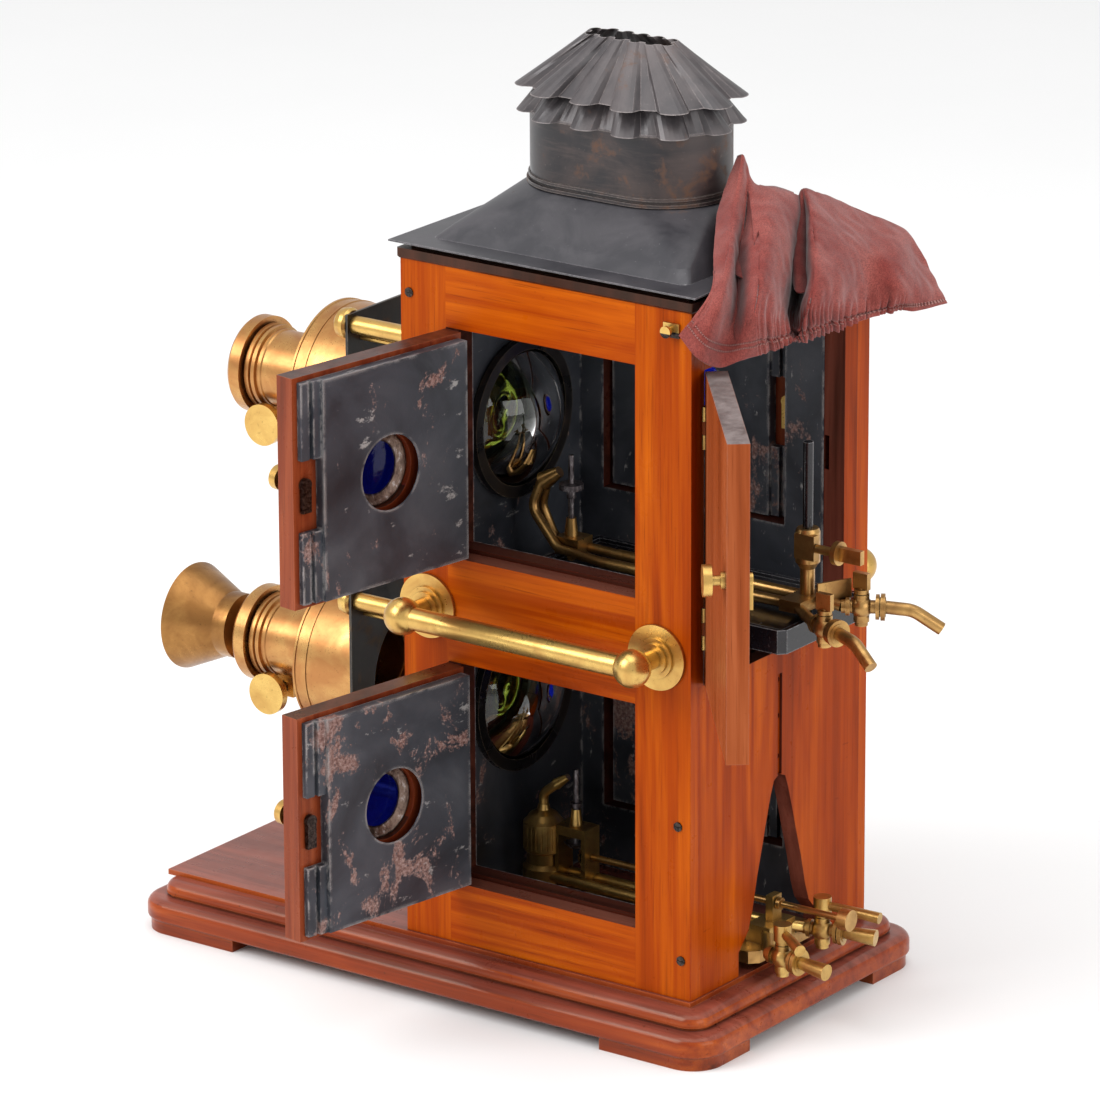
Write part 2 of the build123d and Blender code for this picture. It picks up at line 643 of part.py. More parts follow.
# ---- lens fronts ---------------------------------------------------------------
def lens_drums():
    """Short brass drums on the stage plates."""
    drums = []
    front = DRUM_FRONT
    back = STAGE_Y - 2
    r = DRUM_R
    for z in LENS_Z.values():
        profile = [(SLEEVE_R, front), (r - 1.5, front), (r - 1.5, front - 0.6), (r, front - 0.6),
                   (r + 0.7, front), (r + 0.7, front + 1.6), (r, front + 2.2), (r, front + 10),
                   (r + 0.6, front + 10.4), (r + 0.6, front + 11.6), (r, front + 12),
                   (r, back), (r - 2, back), (r - 2, front + 2), (SLEEVE_R, front + 2)]
        drums.append(turned_y(profile, 0, z))
    return Compound(drums)


def lens_jackets():
    """Fixed sleeves of the rack focusing, each with its pinion box."""
    jackets = []
    for z in LENS_Z.values():
        end = SLEEVE_END
        r = SLEEVE_R
        inner = TUBE_R + FIT
        profile = [(inner, end), (r + 3.6, end), (r + 3.6, end + 3.4), (r + 1.8, end + 4),
                   (r + 2.8, end + 5), (r + 2.8, end + 8), (r + 0.8, end + 9),
                   (r + 0.8, end + 12), (r, end + 13), (r, DRUM_FRONT + 4),
                   (inner, DRUM_FRONT + 4)]
        sleeve = turned_y(profile, 0, z)
        box = block(-10, 10, PINION_Y - 10, PINION_Y + 10, z - PINION_DZ - 6.5, z - TUBE_R + 0.4)
        box -= rod_y(0, z, PINION_Y - 20, PINION_Y + 20, inner)
        sleeve += box
        slot = block(-3.3, 3.3, end - 1, DRUM_FRONT - 1, z - TUBE_R - 4.8, z - TUBE_R + 6.4)
        sleeve -= slot
        well = block(-5.6, 5.6, PINION_Y - 8.2, PINION_Y + 8.2, z - PINION_DZ - 8.2 + 3,
                     z - TUBE_R - 1.6)
        sleeve -= well
        sleeve -= rod_x(PINION_Y, z - PINION_DZ, -5.6, 5.6, 8.0)
        sleeve -= rod_x(PINION_Y, z - PINION_DZ, -11, 11, 2.5 + FIT)
        jackets.append(sleeve)
    return Compound(jackets)


RACK_PITCH = 2 * pi * PINION_PITCH / PINION_TEETH
TOOTH_ROOT = 1.9
TOOTH_MID = 1.25
TOOTH_TIP = 0.7
ADDENDUM = 0.8
DEDENDUM = 1.2


def rack_tooth(y, pitch_z):
    """One rack tooth pointing down."""
    points = [(y - TOOTH_ROOT / 2, pitch_z + DEDENDUM + 0.1), (y + TOOTH_ROOT / 2, pitch_z + DEDENDUM + 0.1),
              (y + TOOTH_TIP / 2, pitch_z - ADDENDUM), (y - TOOTH_TIP / 2, pitch_z - ADDENDUM)]
    face = Plane.YZ * make_face(Polyline(*points, close=True))
    return Pos(-2.5, 0, 0) * extrude(face, 5.0)


def objective_tube(level):
    """Sliding tube with its heavy front flange and the rack under it."""
    z = LENS_Z[level]
    r = TUBE_R
    flange = SLEEVE_END - 4
    profile = [(r - 1.6, TUBE_END), (r, TUBE_END), (r, flange - 2), (FLANGE_R - 4.5, flange - 2),
               (FLANGE_R - 4.5, flange + 2), (FLANGE_R, flange + 2), (FLANGE_R, flange - 7),
               (FLANGE_R - 1.5, flange - 9), (r + 4, flange - 9), (r + 4, flange - 12),
               (r - 1.6, flange - 12)]
    tube = turned_y(profile, 0, z)
    pitch_z = z - PINION_DZ + PINION_PITCH
    tube += block(-2.5, 2.5, SLEEVE_END - 2, DRUM_FRONT - 3.5, pitch_z + DEDENDUM, z - r + 0.6)
    tube -= rod_y(0, z, SLEEVE_END - 60, TUBE_END + 25, r - 1.6)
    for i in range(-5, 14):
        tube += rack_tooth(PINION_Y + (i + 0.5) * RACK_PITCH, pitch_z)
    return tube


def objective_glass(level):
    """Front glass of the lens."""
    z = LENS_Z[level]
    glass = rod_y(0, z, SLEEVE_END - 12, SLEEVE_END - 6, TUBE_R - 1.6)
    return glass


def pinion_tooth():
    """One pinion tooth pointing up, about the X axis."""
    root = PINION_PITCH - DEDENDUM - 0.3
    points = [(-TOOTH_ROOT / 2, root), (TOOTH_ROOT / 2, root),
              (TOOTH_MID / 2, PINION_PITCH), (TOOTH_TIP / 2, PINION_PITCH + ADDENDUM),
              (-TOOTH_TIP / 2, PINION_PITCH + ADDENDUM), (-TOOTH_MID / 2, PINION_PITCH)]
    face = Plane.YZ * make_face(Polyline(*points, close=True))
    return Pos(-2.5, 0, 0) * extrude(face, 5.0)


def focus_pinion(level):
    """Pinion, shaft and two milled brass heads."""
    shaft = rod_x(0, 0, -25, 25, 2.5)
    shaft += rod_x(0, 0, -2.5, 2.5, PINION_PITCH - DEDENDUM)
    for i in range(PINION_TEETH):
        shaft += Rot(360 * i / PINION_TEETH, 0, 0) * pinion_tooth()
    for side in (-1, 1):
        head = rod_x(0, 0, 24, 30, 15.5)
        head += rod_x(0, 0, 21, 24, 12.5)
        head += rod_x(0, 0, 11, 21, 4.5)
        shaft += head if side > 0 else mirrored(head)
    return Pos(0, PINION_Y, LENS_Z[level] - PINION_DZ) * shaft


def lens_hood():
    """Flared brass hood pushed on the lower lens."""
    start = SLEEVE_END - 16
    outer = [(17, start + 3), (17, start - 10), (24.5, start - 13), (24.5, start - 25),
             (40, start - 60)]
    inner = [(38.8, start - 60), (23.3, start - 24.6), (23.3, start - 14.2),
             (15.8, start - 11.2), (15.8, start + 3)]
    hood = turned_y(outer + inner, 0, LENS_Z["lower"])
    seat = rod_y(0, LENS_Z["lower"], start, start + 3, TUBE_R - 1.6)
    seat -= rod_y(0, LENS_Z["lower"], start - 1, start + 4, 15.8)
    return hood + seat


# ---- roof and chimney -----------------------------------------------------------
ROOF_Z = BODY_TOP + 12.0
NECK_R = 48.0
NECK_RUN = 56.0             # straight part of the oval
NECK_Y = -4.0
NECK_FOOT = BODY_TOP + 47.0
NECK_TOP = BODY_TOP + 97.0
COWL_LIFT = 60.0


def oval(r, run, z0, z1):
    """Upright prism on a long-round outline, its length along Y."""
    shape = extrude(SlotCenterToCenter(run, 2 * r, rotation=90), z1 - z0)
    return Pos(0, NECK_Y, z0) * shape


def roof_solid(inset):
    """The stepped, tapering body of the roof, drawn in by an inset."""
    levels = [(BODY_W - 31, BODY_D - 31, 6.5, 1.2, 0), (BODY_W - 49, BODY_D - 47, 8.0, 9.0, 0),
              (2 * NECK_R, 2 * NECK_R + NECK_RUN, NECK_R - 0.2, NECK_FOOT - ROOF_Z, NECK_Y)]
    faces = []
    for width, depth, radius, z, y in levels:
        shape = RectangleRounded(width - 2 * inset, depth - 2 * inset, max(radius - inset, 1.0))
        faces.append(Pos(0, y, ROOF_Z + z) * shape)
    lower = loft(faces[:2], ruled=True)
    upper = loft(faces[1:], ruled=True)
    return lower + upper


def roof_cove():
    plate = block(-HALF_W - 5.5, HALF_W + 5.5, -HALF_D - 6.5, HALF_D + 6.5, ROOF_Z, ROOF_Z + 1.2)
    roof = plate + roof_solid(0)
    hollow = roof_solid(1.2)
    hollow += block(-HALF_W + 17.5, HALF_W - 17.5, -HALF_D + 17.5, HALF_D - 17.5,
                    ROOF_Z - 1, ROOF_Z + 1.3)
    hollow += oval(NECK_R - 1.2, NECK_RUN, NECK_FOOT - 2, NECK_FOOT + 5)
    return roof - hollow


def chimney_neck():
    neck = oval(NECK_R, NECK_RUN, NECK_FOOT, NECK_TOP)
    neck += oval(NECK_R + 2.4, NECK_RUN, NECK_FOOT, NECK_FOOT + 2.4)
    neck += oval(NECK_R + 1.2, NECK_RUN, NECK_FOOT + 4.5, NECK_FOOT + 6.5)
    return neck - oval(NECK_R - 1.2, NECK_RUN, NECK_FOOT - 1, NECK_TOP + 1)


def oval_point(r, run, s):
    """Point and outward normal at fraction s of the way round an oval."""
    arc = pi * r
    total = 2 * arc + 2 * run
    d = (s % 1.0) * total
    if d < run:
        return (r, -run / 2 + d), (1, 0)
    d -= run
    if d < arc:
        a = d / r
        return (r * cos(a), run / 2 + r * sin(a)), (cos(a), sin(a))
    d -= arc
    if d < run:
        return (-r, run / 2 - d), (-1, 0)
    d -= run
    a = pi + d / r
    return (r * cos(a), -run / 2 + r * sin(a)), (cos(a), sin(a))


FLUTES = 12
FLUTE_STEPS = 12
FLAT_STEPS = 4           # steps of the flat strip between two ribs


def flute_ring(r, run, rise, z, inset):
    """Closed outline of one level of a fluted cowl."""
    points = []
    for i in range(FLUTES):
        for k in range(FLUTE_STEPS):
            s = (i + k / FLUTE_STEPS) / FLUTES
            t = max(k - FLAT_STEPS, 0) / (FLUTE_STEPS - FLAT_STEPS)
            lift = 2 * rise * sqrt(t * (1 - t))
            (x, y), (nx, ny) = oval_point(r, run, s)
            out = lift - inset
            points.append((x + nx * out, NECK_Y + y + ny * out, z))
    return points


def fluted_cone(levels):
    """Corrugated sheet cone between two levels (radius, run, rise, z)."""
    shells = []
    for inset in (0.0, 0.9):
        faces = []
        for r, run, rise, z in levels:
            faces.append(make_face(Polyline(*flute_ring(r, run, rise, z, inset), close=True)))
        shells.append(loft(faces, ruled=True))
    return shells[0] - shells[1]


def cowl_lower():
    """Lower fluted tier and the oval collar that drops into the neck."""
    r = NECK_R
    tier = fluted_cone([(r - 0.2, NECK_RUN, 9.5, NECK_TOP),
                        (r - 17, NECK_RUN - 1, 6.0, NECK_TOP + 27)])
    collar = oval(r - 1.5, NECK_RUN, NECK_TOP - 16, NECK_TOP)
    collar += oval(r - 0.2, NECK_RUN, NECK_TOP, NECK_TOP + 1.2)
    collar -= oval(r - 2.6, NECK_RUN, NECK_TOP - 17, NECK_TOP + 2)
    return tier + collar


def cowl_upper():
    """Upper fluted tier, riveted over the lower one."""
    r = NECK_R
    return fluted_cone([(r - 0.5, NECK_RUN, 11.0, NECK_TOP + 18.5),
                        (8.5, NECK_RUN - 6, 4.5, NECK_TOP + 55.5)])


# ---- burners ----------------------------------------------------------------------
def folded_tray(x0, x1, y0, y1, z0, z1, wall):
    """Shallow open tray of folded sheet."""
    tray = block(x0, x1, y0, y1, z0, z1)
    return tray - block(x0 + wall, x1 - wall, y0 + wall, y1 - wall, z1 - 3, z1 + 1)


def upper_tray():
    """Sliding iron tray of the upper burner, with its upright steel rod."""
    x, y = UPPER_ROD
    tray = folded_tray(-52, 52, -HALF_D + 53.5, HALF_D + 37.5, FLOOR_TOP + FIT, TRAY_TOP, 4.0)
    tray = chamfer(tray.edges().filter_by(Axis.Z).group_by(Axis.Y)[-1], 5.0)
    tray += rod_z(x, y, TRAY_TOP - 6, TRAY_TOP + 122, 3.6)
    return tray


TAP_A = (35.0, HALF_D + 60.5, TRAY_TOP + 3.0)
TAP_B = (-17.0, HALF_D + 56.5, TRAY_TOP + 3.5)
TAP_A_DIR = (0.34, 0.94)
TAP_B_DIR = (-0.51, 0.86)
PLUG_R = 3.0


def along(p, direction, distance, rise=0.0):
    """Point a distance along a level direction."""
    return (p[0] + direction[0] * distance, p[1] + direction[1] * distance, p[2] + rise)


def tap_body(p, direction, plug_axis=(0, 0, 1)):
    """Round tap body with a union ring behind and in front."""
    body = Pos(*p) * Sphere(8.0)
    body += rod_between(along(p, direction, -14), along(p, direction, 12), 4.8)
    body += rod_between(along(p, direction, -11), along(p, direction, -8), 6.5)
    body += rod_between(along(p, direction, 10), along(p, direction, 12.5), 9.0)
    body += rod_between(along(p, direction, 13.5), along(p, direction, 16.5), 9.6)
    body += rod_between(along(p, direction, 12), along(p, direction, 17), 7.0)
    q = Vector(*p)
    a = Vector(*plug_axis).normalized()
    body += taper_between(tuple(q - a * 10.5), tuple(q + a * 9.5), 5.6, 5.6)
    body -= taper_between(tuple(q - a * 12), tuple(q + a * 12), PLUG_R + FIT, PLUG_R + FIT)
    return body


def upper_jet():
    """Gas pipes, blow-through jet, height sleeve and the two tap bodies."""
    x, y = UPPER_ROD
    sx, sy = UPPER_SPINDLE
    low = TRAY_TOP + 5.5
    sleeve = turned_z([(0, low - 2), (5.2, low - 2), (5.2, TRAY_TOP + 30), (8.8, TRAY_TOP + 35),
                       (8.8, TRAY_TOP + 57), (7.6, TRAY_TOP + 59.5), (0, TRAY_TOP + 59.5)], x, y)
    jet = sleeve
    jet += block(x + 4, x + 9.6, y - 5, y + 11.5, TRAY_TOP + 39, TRAY_TOP + 57)
    jet += block(x - 12, x + 22, y - 9, y + 9, low - 2.4, low + 6)
    pipe_z = low + 1.5
    for px, tap, way in ((15, TAP_A, TAP_A_DIR), (-6, TAP_B, TAP_B_DIR)):
        back = along(tap, way, -14)
        jet += rod_y(px, pipe_z, sy + 36.5, y, 4.0)
        jet += rod_between((px, y, pipe_z), back, 4.0)
        jet += Pos(px, y, pipe_z) * Sphere(4.0)
        jet += tap_body(tap, way)
    for tap, way, reach, drop in ((TAP_A, TAP_A_DIR, 38, -14), (TAP_B, TAP_B_DIR, 40, -15)):
        start = along(tap, way, 16)
        mid = along(tap, way, 16 + reach * 0.5, drop * 0.12)
        end = along(tap, way, 16 + reach, drop)
        jet += bent_pipe([start, mid, end], 4.7, 20)
    # goose-neck copper tubes up to the nozzle
    for px, rise_y, tip_y in ((15, sy - 3.5, sy - 22.5), (-6, sy - 17.5, sy - 21)):
        tube = bent_pipe([(px, sy + 38.5, pipe_z), (px * 0.8, rise_y, pipe_z + 2),
                          (px * 0.5, tip_y - 7, TRAY_TOP + 34),
                          (px * 0.25, tip_y, TRAY_TOP + 56)], 3.6, 12)
        jet += tube
    jet += taper_between((1.5, sy - 23, TRAY_TOP + 53), (0, sy - 10, TRAY_TOP + 62), 7.0, 4.0)
    # bracket for the lime pin
    jet += block(sx - 9, sx + 9, sy - 8, sy + 12, low - 2, low + 11)
    jet += block(-8, 16, sy + 8, sy + 12, low - 2, low + 5)
    jet += turned_z([(0, low + 8), (5.5, low + 8), (3.6, low + 24), (0, low + 24)], sx, sy)
    jet -= rod_z(sx, sy, low - 5, low + 30, 2.0 + FIT)
    # name plate standing across the pipes
    plate = Pos(-8, y + 17, low + 8.5) * Rot(0, 0, -26) * Box(27, 2, 15)
    jet += plate
    jet -= rod_z(x, y, low - 10, TRAY_TOP + 136, 3.6 + FIT)
    jet -= rod_y(x + 6.8, TRAY_TOP + 48, y - 1, y + 12.5, 2.2 + FIT)
    return jet


def upper_clamp_screw():
    """Thumbscrew that clamps the jet on the rod."""
    x, y = UPPER_ROD
    sx = x + 6.8
    z = TRAY_TOP + 48
    screw = rod_y(sx, z, y, y + 28, 2.2)
    screw += rod_y(sx, z, y + 12, y + 28, 3.2)
    screw += rod_y(sx, z, y + 28, y + 32, 8.5)
    screw += block(sx - 2.4, sx + 2.4, y + 32, y + 50, z - 5, z + 5)
    return screw


def lime_pin(x, y, low, top, disc):
    """Threaded steel pin with a milled disc."""
    pin = rod_z(x, y, low, top, 2.0)
    pin += rod_z(x, y, disc - 2, disc + 2, 8.8)
    pin += rod_z(x, y, disc - 9, disc, 3.2)
    return pin


def upper_lime_pin():
    x, y = UPPER_SPINDLE
    return lime_pin(x, y, TRAY_TOP + 4, TRAY_TOP + 76, TRAY_TOP + 53)


def tap_lever(p, way, reach, square):
    """Plug of a tap with its lever on top."""
    x, y, z = p
    plug = rod_z(x, y, z - 11.5, z + 14, PLUG_R)
    plug += rod_z(x, y, z - 13.5, z - 11, 4.6)
    plug += rod_z(x, y, z + 10, z + 13, 5.2)
    if square:
        plug += block(x - 2.2, x + 2.2, y - 6, y + 6, z + 13, z + 25)
        return plug
    plug += rod_z(x, y, z + 13, z + 25, 6.5)
    plug += taper_between((x, y, z + 19), along((x, y, z + 19), way, reach, -3), 3.0, 4.2)
    return plug


def upper_tap_right():
    return tap_lever(TAP_A, TAP_A_DIR, 0, True)


def upper_tap_left():
    return tap_lever(TAP_B, TAP_B_DIR, 0, True)


LOW_TAP_A = (37.0, HALF_D + 28.5, BASE_TOP + 17.0)
LOW_TAP_B = (-25.0, HALF_D + 20.5, BASE_TOP + 17.0)
LOW_A_DIR = (0.1, 0.995)
LOW_B_DIR = (-0.26, 0.966)
LOW_PIPE_Z = BASE_TOP + 22.0
CONTROL_Z = BASE_TOP + 40.0
CHAMBER = (4.0, -HALF_D + 44.5)


def lower_tray():
    """Flat iron slide of the lower burner with a brass tail box."""
    tray = folded_tray(-38, 38, -HALF_D + 23.5, HALF_D - 17.5, BASE_TOP + FIT, BASE_TOP + 6, 3.0)
    tail = block(-42, 36, HALF_D - 24.5, HALF_D + 4.5, BASE_TOP + 5, BASE_TOP + 14)
    tail = chamfer(tail.edges().filter_by(Axis.Z).group_by(Axis.Y)[-1], 6.0)
    return tray + tail


def lower_jet():
    """Mixing chamber, nozzle, feed pipe, bracket and the two tap bodies."""
    cx, cy = CHAMBER
    b = BASE_TOP
    profile = [(0, b + 3), (15.5, b + 3), (15.5, b + 27), (12.5, b + 30), (12.5, b + 38),
               (15, b + 40), (15, b + 61), (13, b + 63), (10, b + 67), (5, b + 70), (4, b + 74),
               (0, b + 74)]
    jet = turned_z(profile, cx, cy)
    for i in range(24):
        a = radians(15 * i)
        jet -= rod_z(cx + 15.4 * cos(a), cy + 15.4 * sin(a), b + 42, b + 59, 0.7)
    jet += bent_pipe([(cx, cy, b + 72), (cx, cy, b + 82), (cx - 1, cy + 15, b + 94)], 3.6, 8)
    jet += taper_between((cx - 0.6, cy + 11, b + 91), (cx - 1.4, cy + 21, b + 98), 4.4, 2.4)
    for px in (10, -6):
        jet += rod_y(px, LOW_PIPE_Z, cy, HALF_D - 1.5, 4.0)
    jet += block(-14, 18, HALF_D - 15.5, HALF_D + 4.5, b + 14, b + 27)
    for tap, way, px in ((LOW_TAP_A, LOW_A_DIR, 10), (LOW_TAP_B, LOW_B_DIR, -6)):
        back = along(tap, way, -13)
        jet += rod_between((px, HALF_D - 3.5, LOW_PIPE_Z), back, 4.2)
        body = tap_body(tap, way)
        jet += body
        start = along(tap, way, 15)
        jet += taper_between(start, along(tap, way, 40, -1.5), 4.4, 6.0)
    # spindle bracket
    sx, sy = LOWER_SPINDLE
    jet += block(sx - 9, sx + 9, sy - 13, sy - 9.6, b + 3, b + 62)
    jet += block(sx - 9, sx + 9, sy - 13, sy + 14, b + 55, b + 62)
    jet += block(sx - 9, sx + 9, sy + 10.5, sy + 14, b + 3, b + 62)
    jet += turned_z([(0, b + 61), (5, b + 61), (3.4, b + 74), (0, b + 74)], sx, sy)
    jet += block(sx - 9, sx + 9, sy - 13, sy + 14, b + 3, b + 14)
    jet -= rod_z(sx, sy, b + 16, b + 80, 2.0 + FIT)
    jet -= rod_y(0, CONTROL_Z, sy + 9, HALF_D + 76.5, 2.5 + FIT)
    # steady for the control rod above the tail
    jet += block(-5.5, 5.5, HALF_D - 7.5, HALF_D - 1.5, b + 26, b + 46)
    jet -= rod_y(0, CONTROL_Z, sy + 9, HALF_D + 76.5, 2.5 + FIT)
    return jet


BEVEL_TEETH = 12
BEVEL_NEAR = 5.0            # distance of a mitre wheel's small end from the crossing
BEVEL_FAR = 8.5


def mitre_wheel(phase):
    """Mitre wheel about the Z axis, its point at the origin and its large end up."""
    mid = (BEVEL_NEAR + BEVEL_FAR) / 2
    height = BEVEL_FAR - BEVEL_NEAR
    body = Cone(BEVEL_NEAR - 0.7, BEVEL_FAR - 0.7, height)
    crown = Cone(BEVEL_NEAR + 0.45, BEVEL_FAR + 0.45, height)
    half = 5.0
    for i in range(BEVEL_TEETH):
        a = 360 * i / BEVEL_TEETH + phase
        reach = 30.0
        corners = [(0, 0), (reach * cos(radians(a - half)), reach * sin(radians(a - half))),
                   (reach * cos(radians(a + half)), reach * sin(radians(a + half)))]
        wedge = extrude(make_face(Polyline(*corners, close=True)), height, both=True)
        body += crown & wedge
    return Pos(0, 0, mid) * body


def lower_lime_pin():
    """Upright lime spindle with a bevel wheel at its foot."""
    x, y = LOWER_SPINDLE
    b = BASE_TOP
    pin = rod_z(x, y, CONTROL_Z + BEVEL_NEAR, b + 104, 2.0)
    pin += rod_z(x, y, b + 76, b + 79, 4.4)
    pin += rod_z(x, y, CONTROL_Z + BEVEL_FAR, b + 54.5, 3.2)
    pin += Pos(x, y, CONTROL_Z) * mitre_wheel(90)
    return pin


def control_rod():
    """Long rod from the back that turns the lower lime."""
    x, y = LOWER_SPINDLE
    rod = rod_y(0, CONTROL_Z, y + BEVEL_NEAR, HALF_D + 54.5, 2.5)
    wheel = Rot(-90, 0, 0) * mitre_wheel(90 + 180 / BEVEL_TEETH)
    rod += Pos(x, y, CONTROL_Z) * wheel
    rod += rod_y(0, CONTROL_Z, HALF_D + 53.5, HALF_D + 61.5, 7.75)
    rod += rod_y(0, CONTROL_Z, HALF_D - 0.5, HALF_D + 2.5, 4.4)
    return rod


def lower_tap_right():
    return tap_lever(LOW_TAP_B, (-0.14, 0.99), 45, False)


def lower_tap_left():
    return tap_lever(LOW_TAP_A, (0.55, 0.83), 32, False)


# ---- curtain -----------------------------------------------------------------------
def curtain():
    """Simple body of the gathered cloth thrown up over the back of the roof."""
    y = HALF_D
    z = BODY_TOP
    outline = [(y + 8, z - 44), (y + 54.5, z - 34), (y + 66.5, z - 8), (y + 36.5, z + 24),
               (y - 11.5, z + 62), (y - 37.5, z + 70), (y - 43.5, z + 62), (y - 23.5, z + 36),
               (y + 8, z + 16)]
    face = Plane.YZ * make_face(Polyline(*outline, close=True))
    return Pos(-HALF_W + 1.5, 0, 0) * extrude(face, BODY_W - 13)


def curtain_hook():
    """Brass hook plate near the top rear corner that holds the end of the hem."""
    y = HALF_D - 16.5
    z = BODY_TOP - 14
    x = HALF_W
    hook = block(x, x + 1.6, y - 6, y + 7, z - 5, z + 5)
    hook += rod_x(y, z, x + 1.6, x + 7, 2.4)
    hook += rod_x(y, z, x + 6, x + 8, 4.2)
    return hook


# ---- write every piece ----------------------------------------------------------------
save("base_board", base_board())
save("base_feet", base_feet())
save("side_frame_right", with_screw_holes(side_frame_right(), 1))
save("side_frame_left", with_screw_holes(side_frame_left(), -1))
save("front_board", front_board())
save("rear_frame", rear_frame())
save("chamber_floor", chamber_floor())
save("tin_lining", tin_lining())
save("top_moulding", top_moulding())
save("handrails", handrails())
save("case_fittings", Compound(case_screws().solids() + [curtain_hook()]))
save("door_hinges", door_hinges())
save("condenser_cells", condenser_cells())
save("condenser_glasses", condenser_glasses())
save("stage_plates", stage_plates())
save("stage_pillars", stage_pillars())
save("slide_springs", slide_springs())
save("lens_jackets", Compound(lens_drums().solids() + lens_jackets().solids()))
save("lens_hood", lens_hood())
save("roof_cove", roof_cove())
save("chimney_neck", chimney_neck())
save("cowl_lower", cowl_lower())
save("cowl_upper", cowl_upper())
save("curtain", curtain())
save("rear_door", rear_door())
save("rear_door_catch", rear_door_catch())
for level in ("upper", "lower"):
    save(f"{level}_objective_tube", objective_tube(level))
    save(f"{level}_objective_glass", objective_glass(level))
    save(f"{level}_focus_pinion", focus_pinion(level))
    for piece, make in (("door", side_door), ("door_liner", door_liner),
                        ("door_glass", door_glass), ("door_catch", door_catch)):
        shape = make(level)
        save(f"right_{level}_{piece}", place_right(shape))
        save(f"left_{level}_{piece}", mirrored(shape))
save("upper_tray", upper_tray())
save("upper_jet", upper_jet())
save("upper_clamp_screw", upper_clamp_screw())
save("upper_lime_pin", upper_lime_pin())
save("upper_tap_right", upper_tap_right())
save("upper_tap_left", upper_tap_left())
save("lower_tray", lower_tray())
save("lower_jet", lower_jet())
save("lower_lime_pin", lower_lime_pin())
save("control_rod", control_rod())
save("lower_tap_right", lower_tap_right())
save("lower_tap_left", lower_tap_left())
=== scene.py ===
"""Looks of the magic lantern: materials, the cloth curtain, small fittings, lights and the camera."""
import math
import random

import bpy
from mathutils import Matrix, Vector, noise


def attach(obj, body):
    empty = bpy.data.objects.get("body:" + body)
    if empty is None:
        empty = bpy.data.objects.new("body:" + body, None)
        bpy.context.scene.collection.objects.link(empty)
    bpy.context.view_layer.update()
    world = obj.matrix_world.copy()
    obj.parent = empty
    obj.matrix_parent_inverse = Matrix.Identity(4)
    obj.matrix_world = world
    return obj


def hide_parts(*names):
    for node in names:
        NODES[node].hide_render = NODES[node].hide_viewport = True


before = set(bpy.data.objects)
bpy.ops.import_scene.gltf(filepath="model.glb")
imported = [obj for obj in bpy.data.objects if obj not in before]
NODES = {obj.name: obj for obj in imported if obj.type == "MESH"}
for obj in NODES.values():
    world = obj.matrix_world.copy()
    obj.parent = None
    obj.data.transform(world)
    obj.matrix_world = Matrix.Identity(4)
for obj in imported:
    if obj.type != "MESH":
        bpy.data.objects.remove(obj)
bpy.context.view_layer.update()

# ---- small helpers ----------------------------------------------------------
MM = 0.001
BASE_TOP = 0.040
HALF_W = 0.1095
HINGE = Vector((HALF_W, -0.0842, 0))        # pin line of the near side doors
DOOR_SWING = math.radians(-99.6)            # how far they stand open
DOOR_DEEP = 0.0153                          # just over a door's thickness
STOP_FACE = 0.0944                          # the stops' outer faces lie inside this x
HOOK = (0.100, 0.525)                       # the curtain hook lies beyond this y and z
LENS_Z = {"upper": BASE_TOP + 0.3605, "lower": BASE_TOP + 0.154}


def lin(r, g, b, a=1.0):
    """sRGB 0-255 to a linear colour."""
    out = []
    for v in (r, g, b):
        c = v / 255.0
        out.append(c / 12.92 if c <= 0.04045 else ((c + 0.055) / 1.055) ** 2.4)
    return (out[0], out[1], out[2], a)


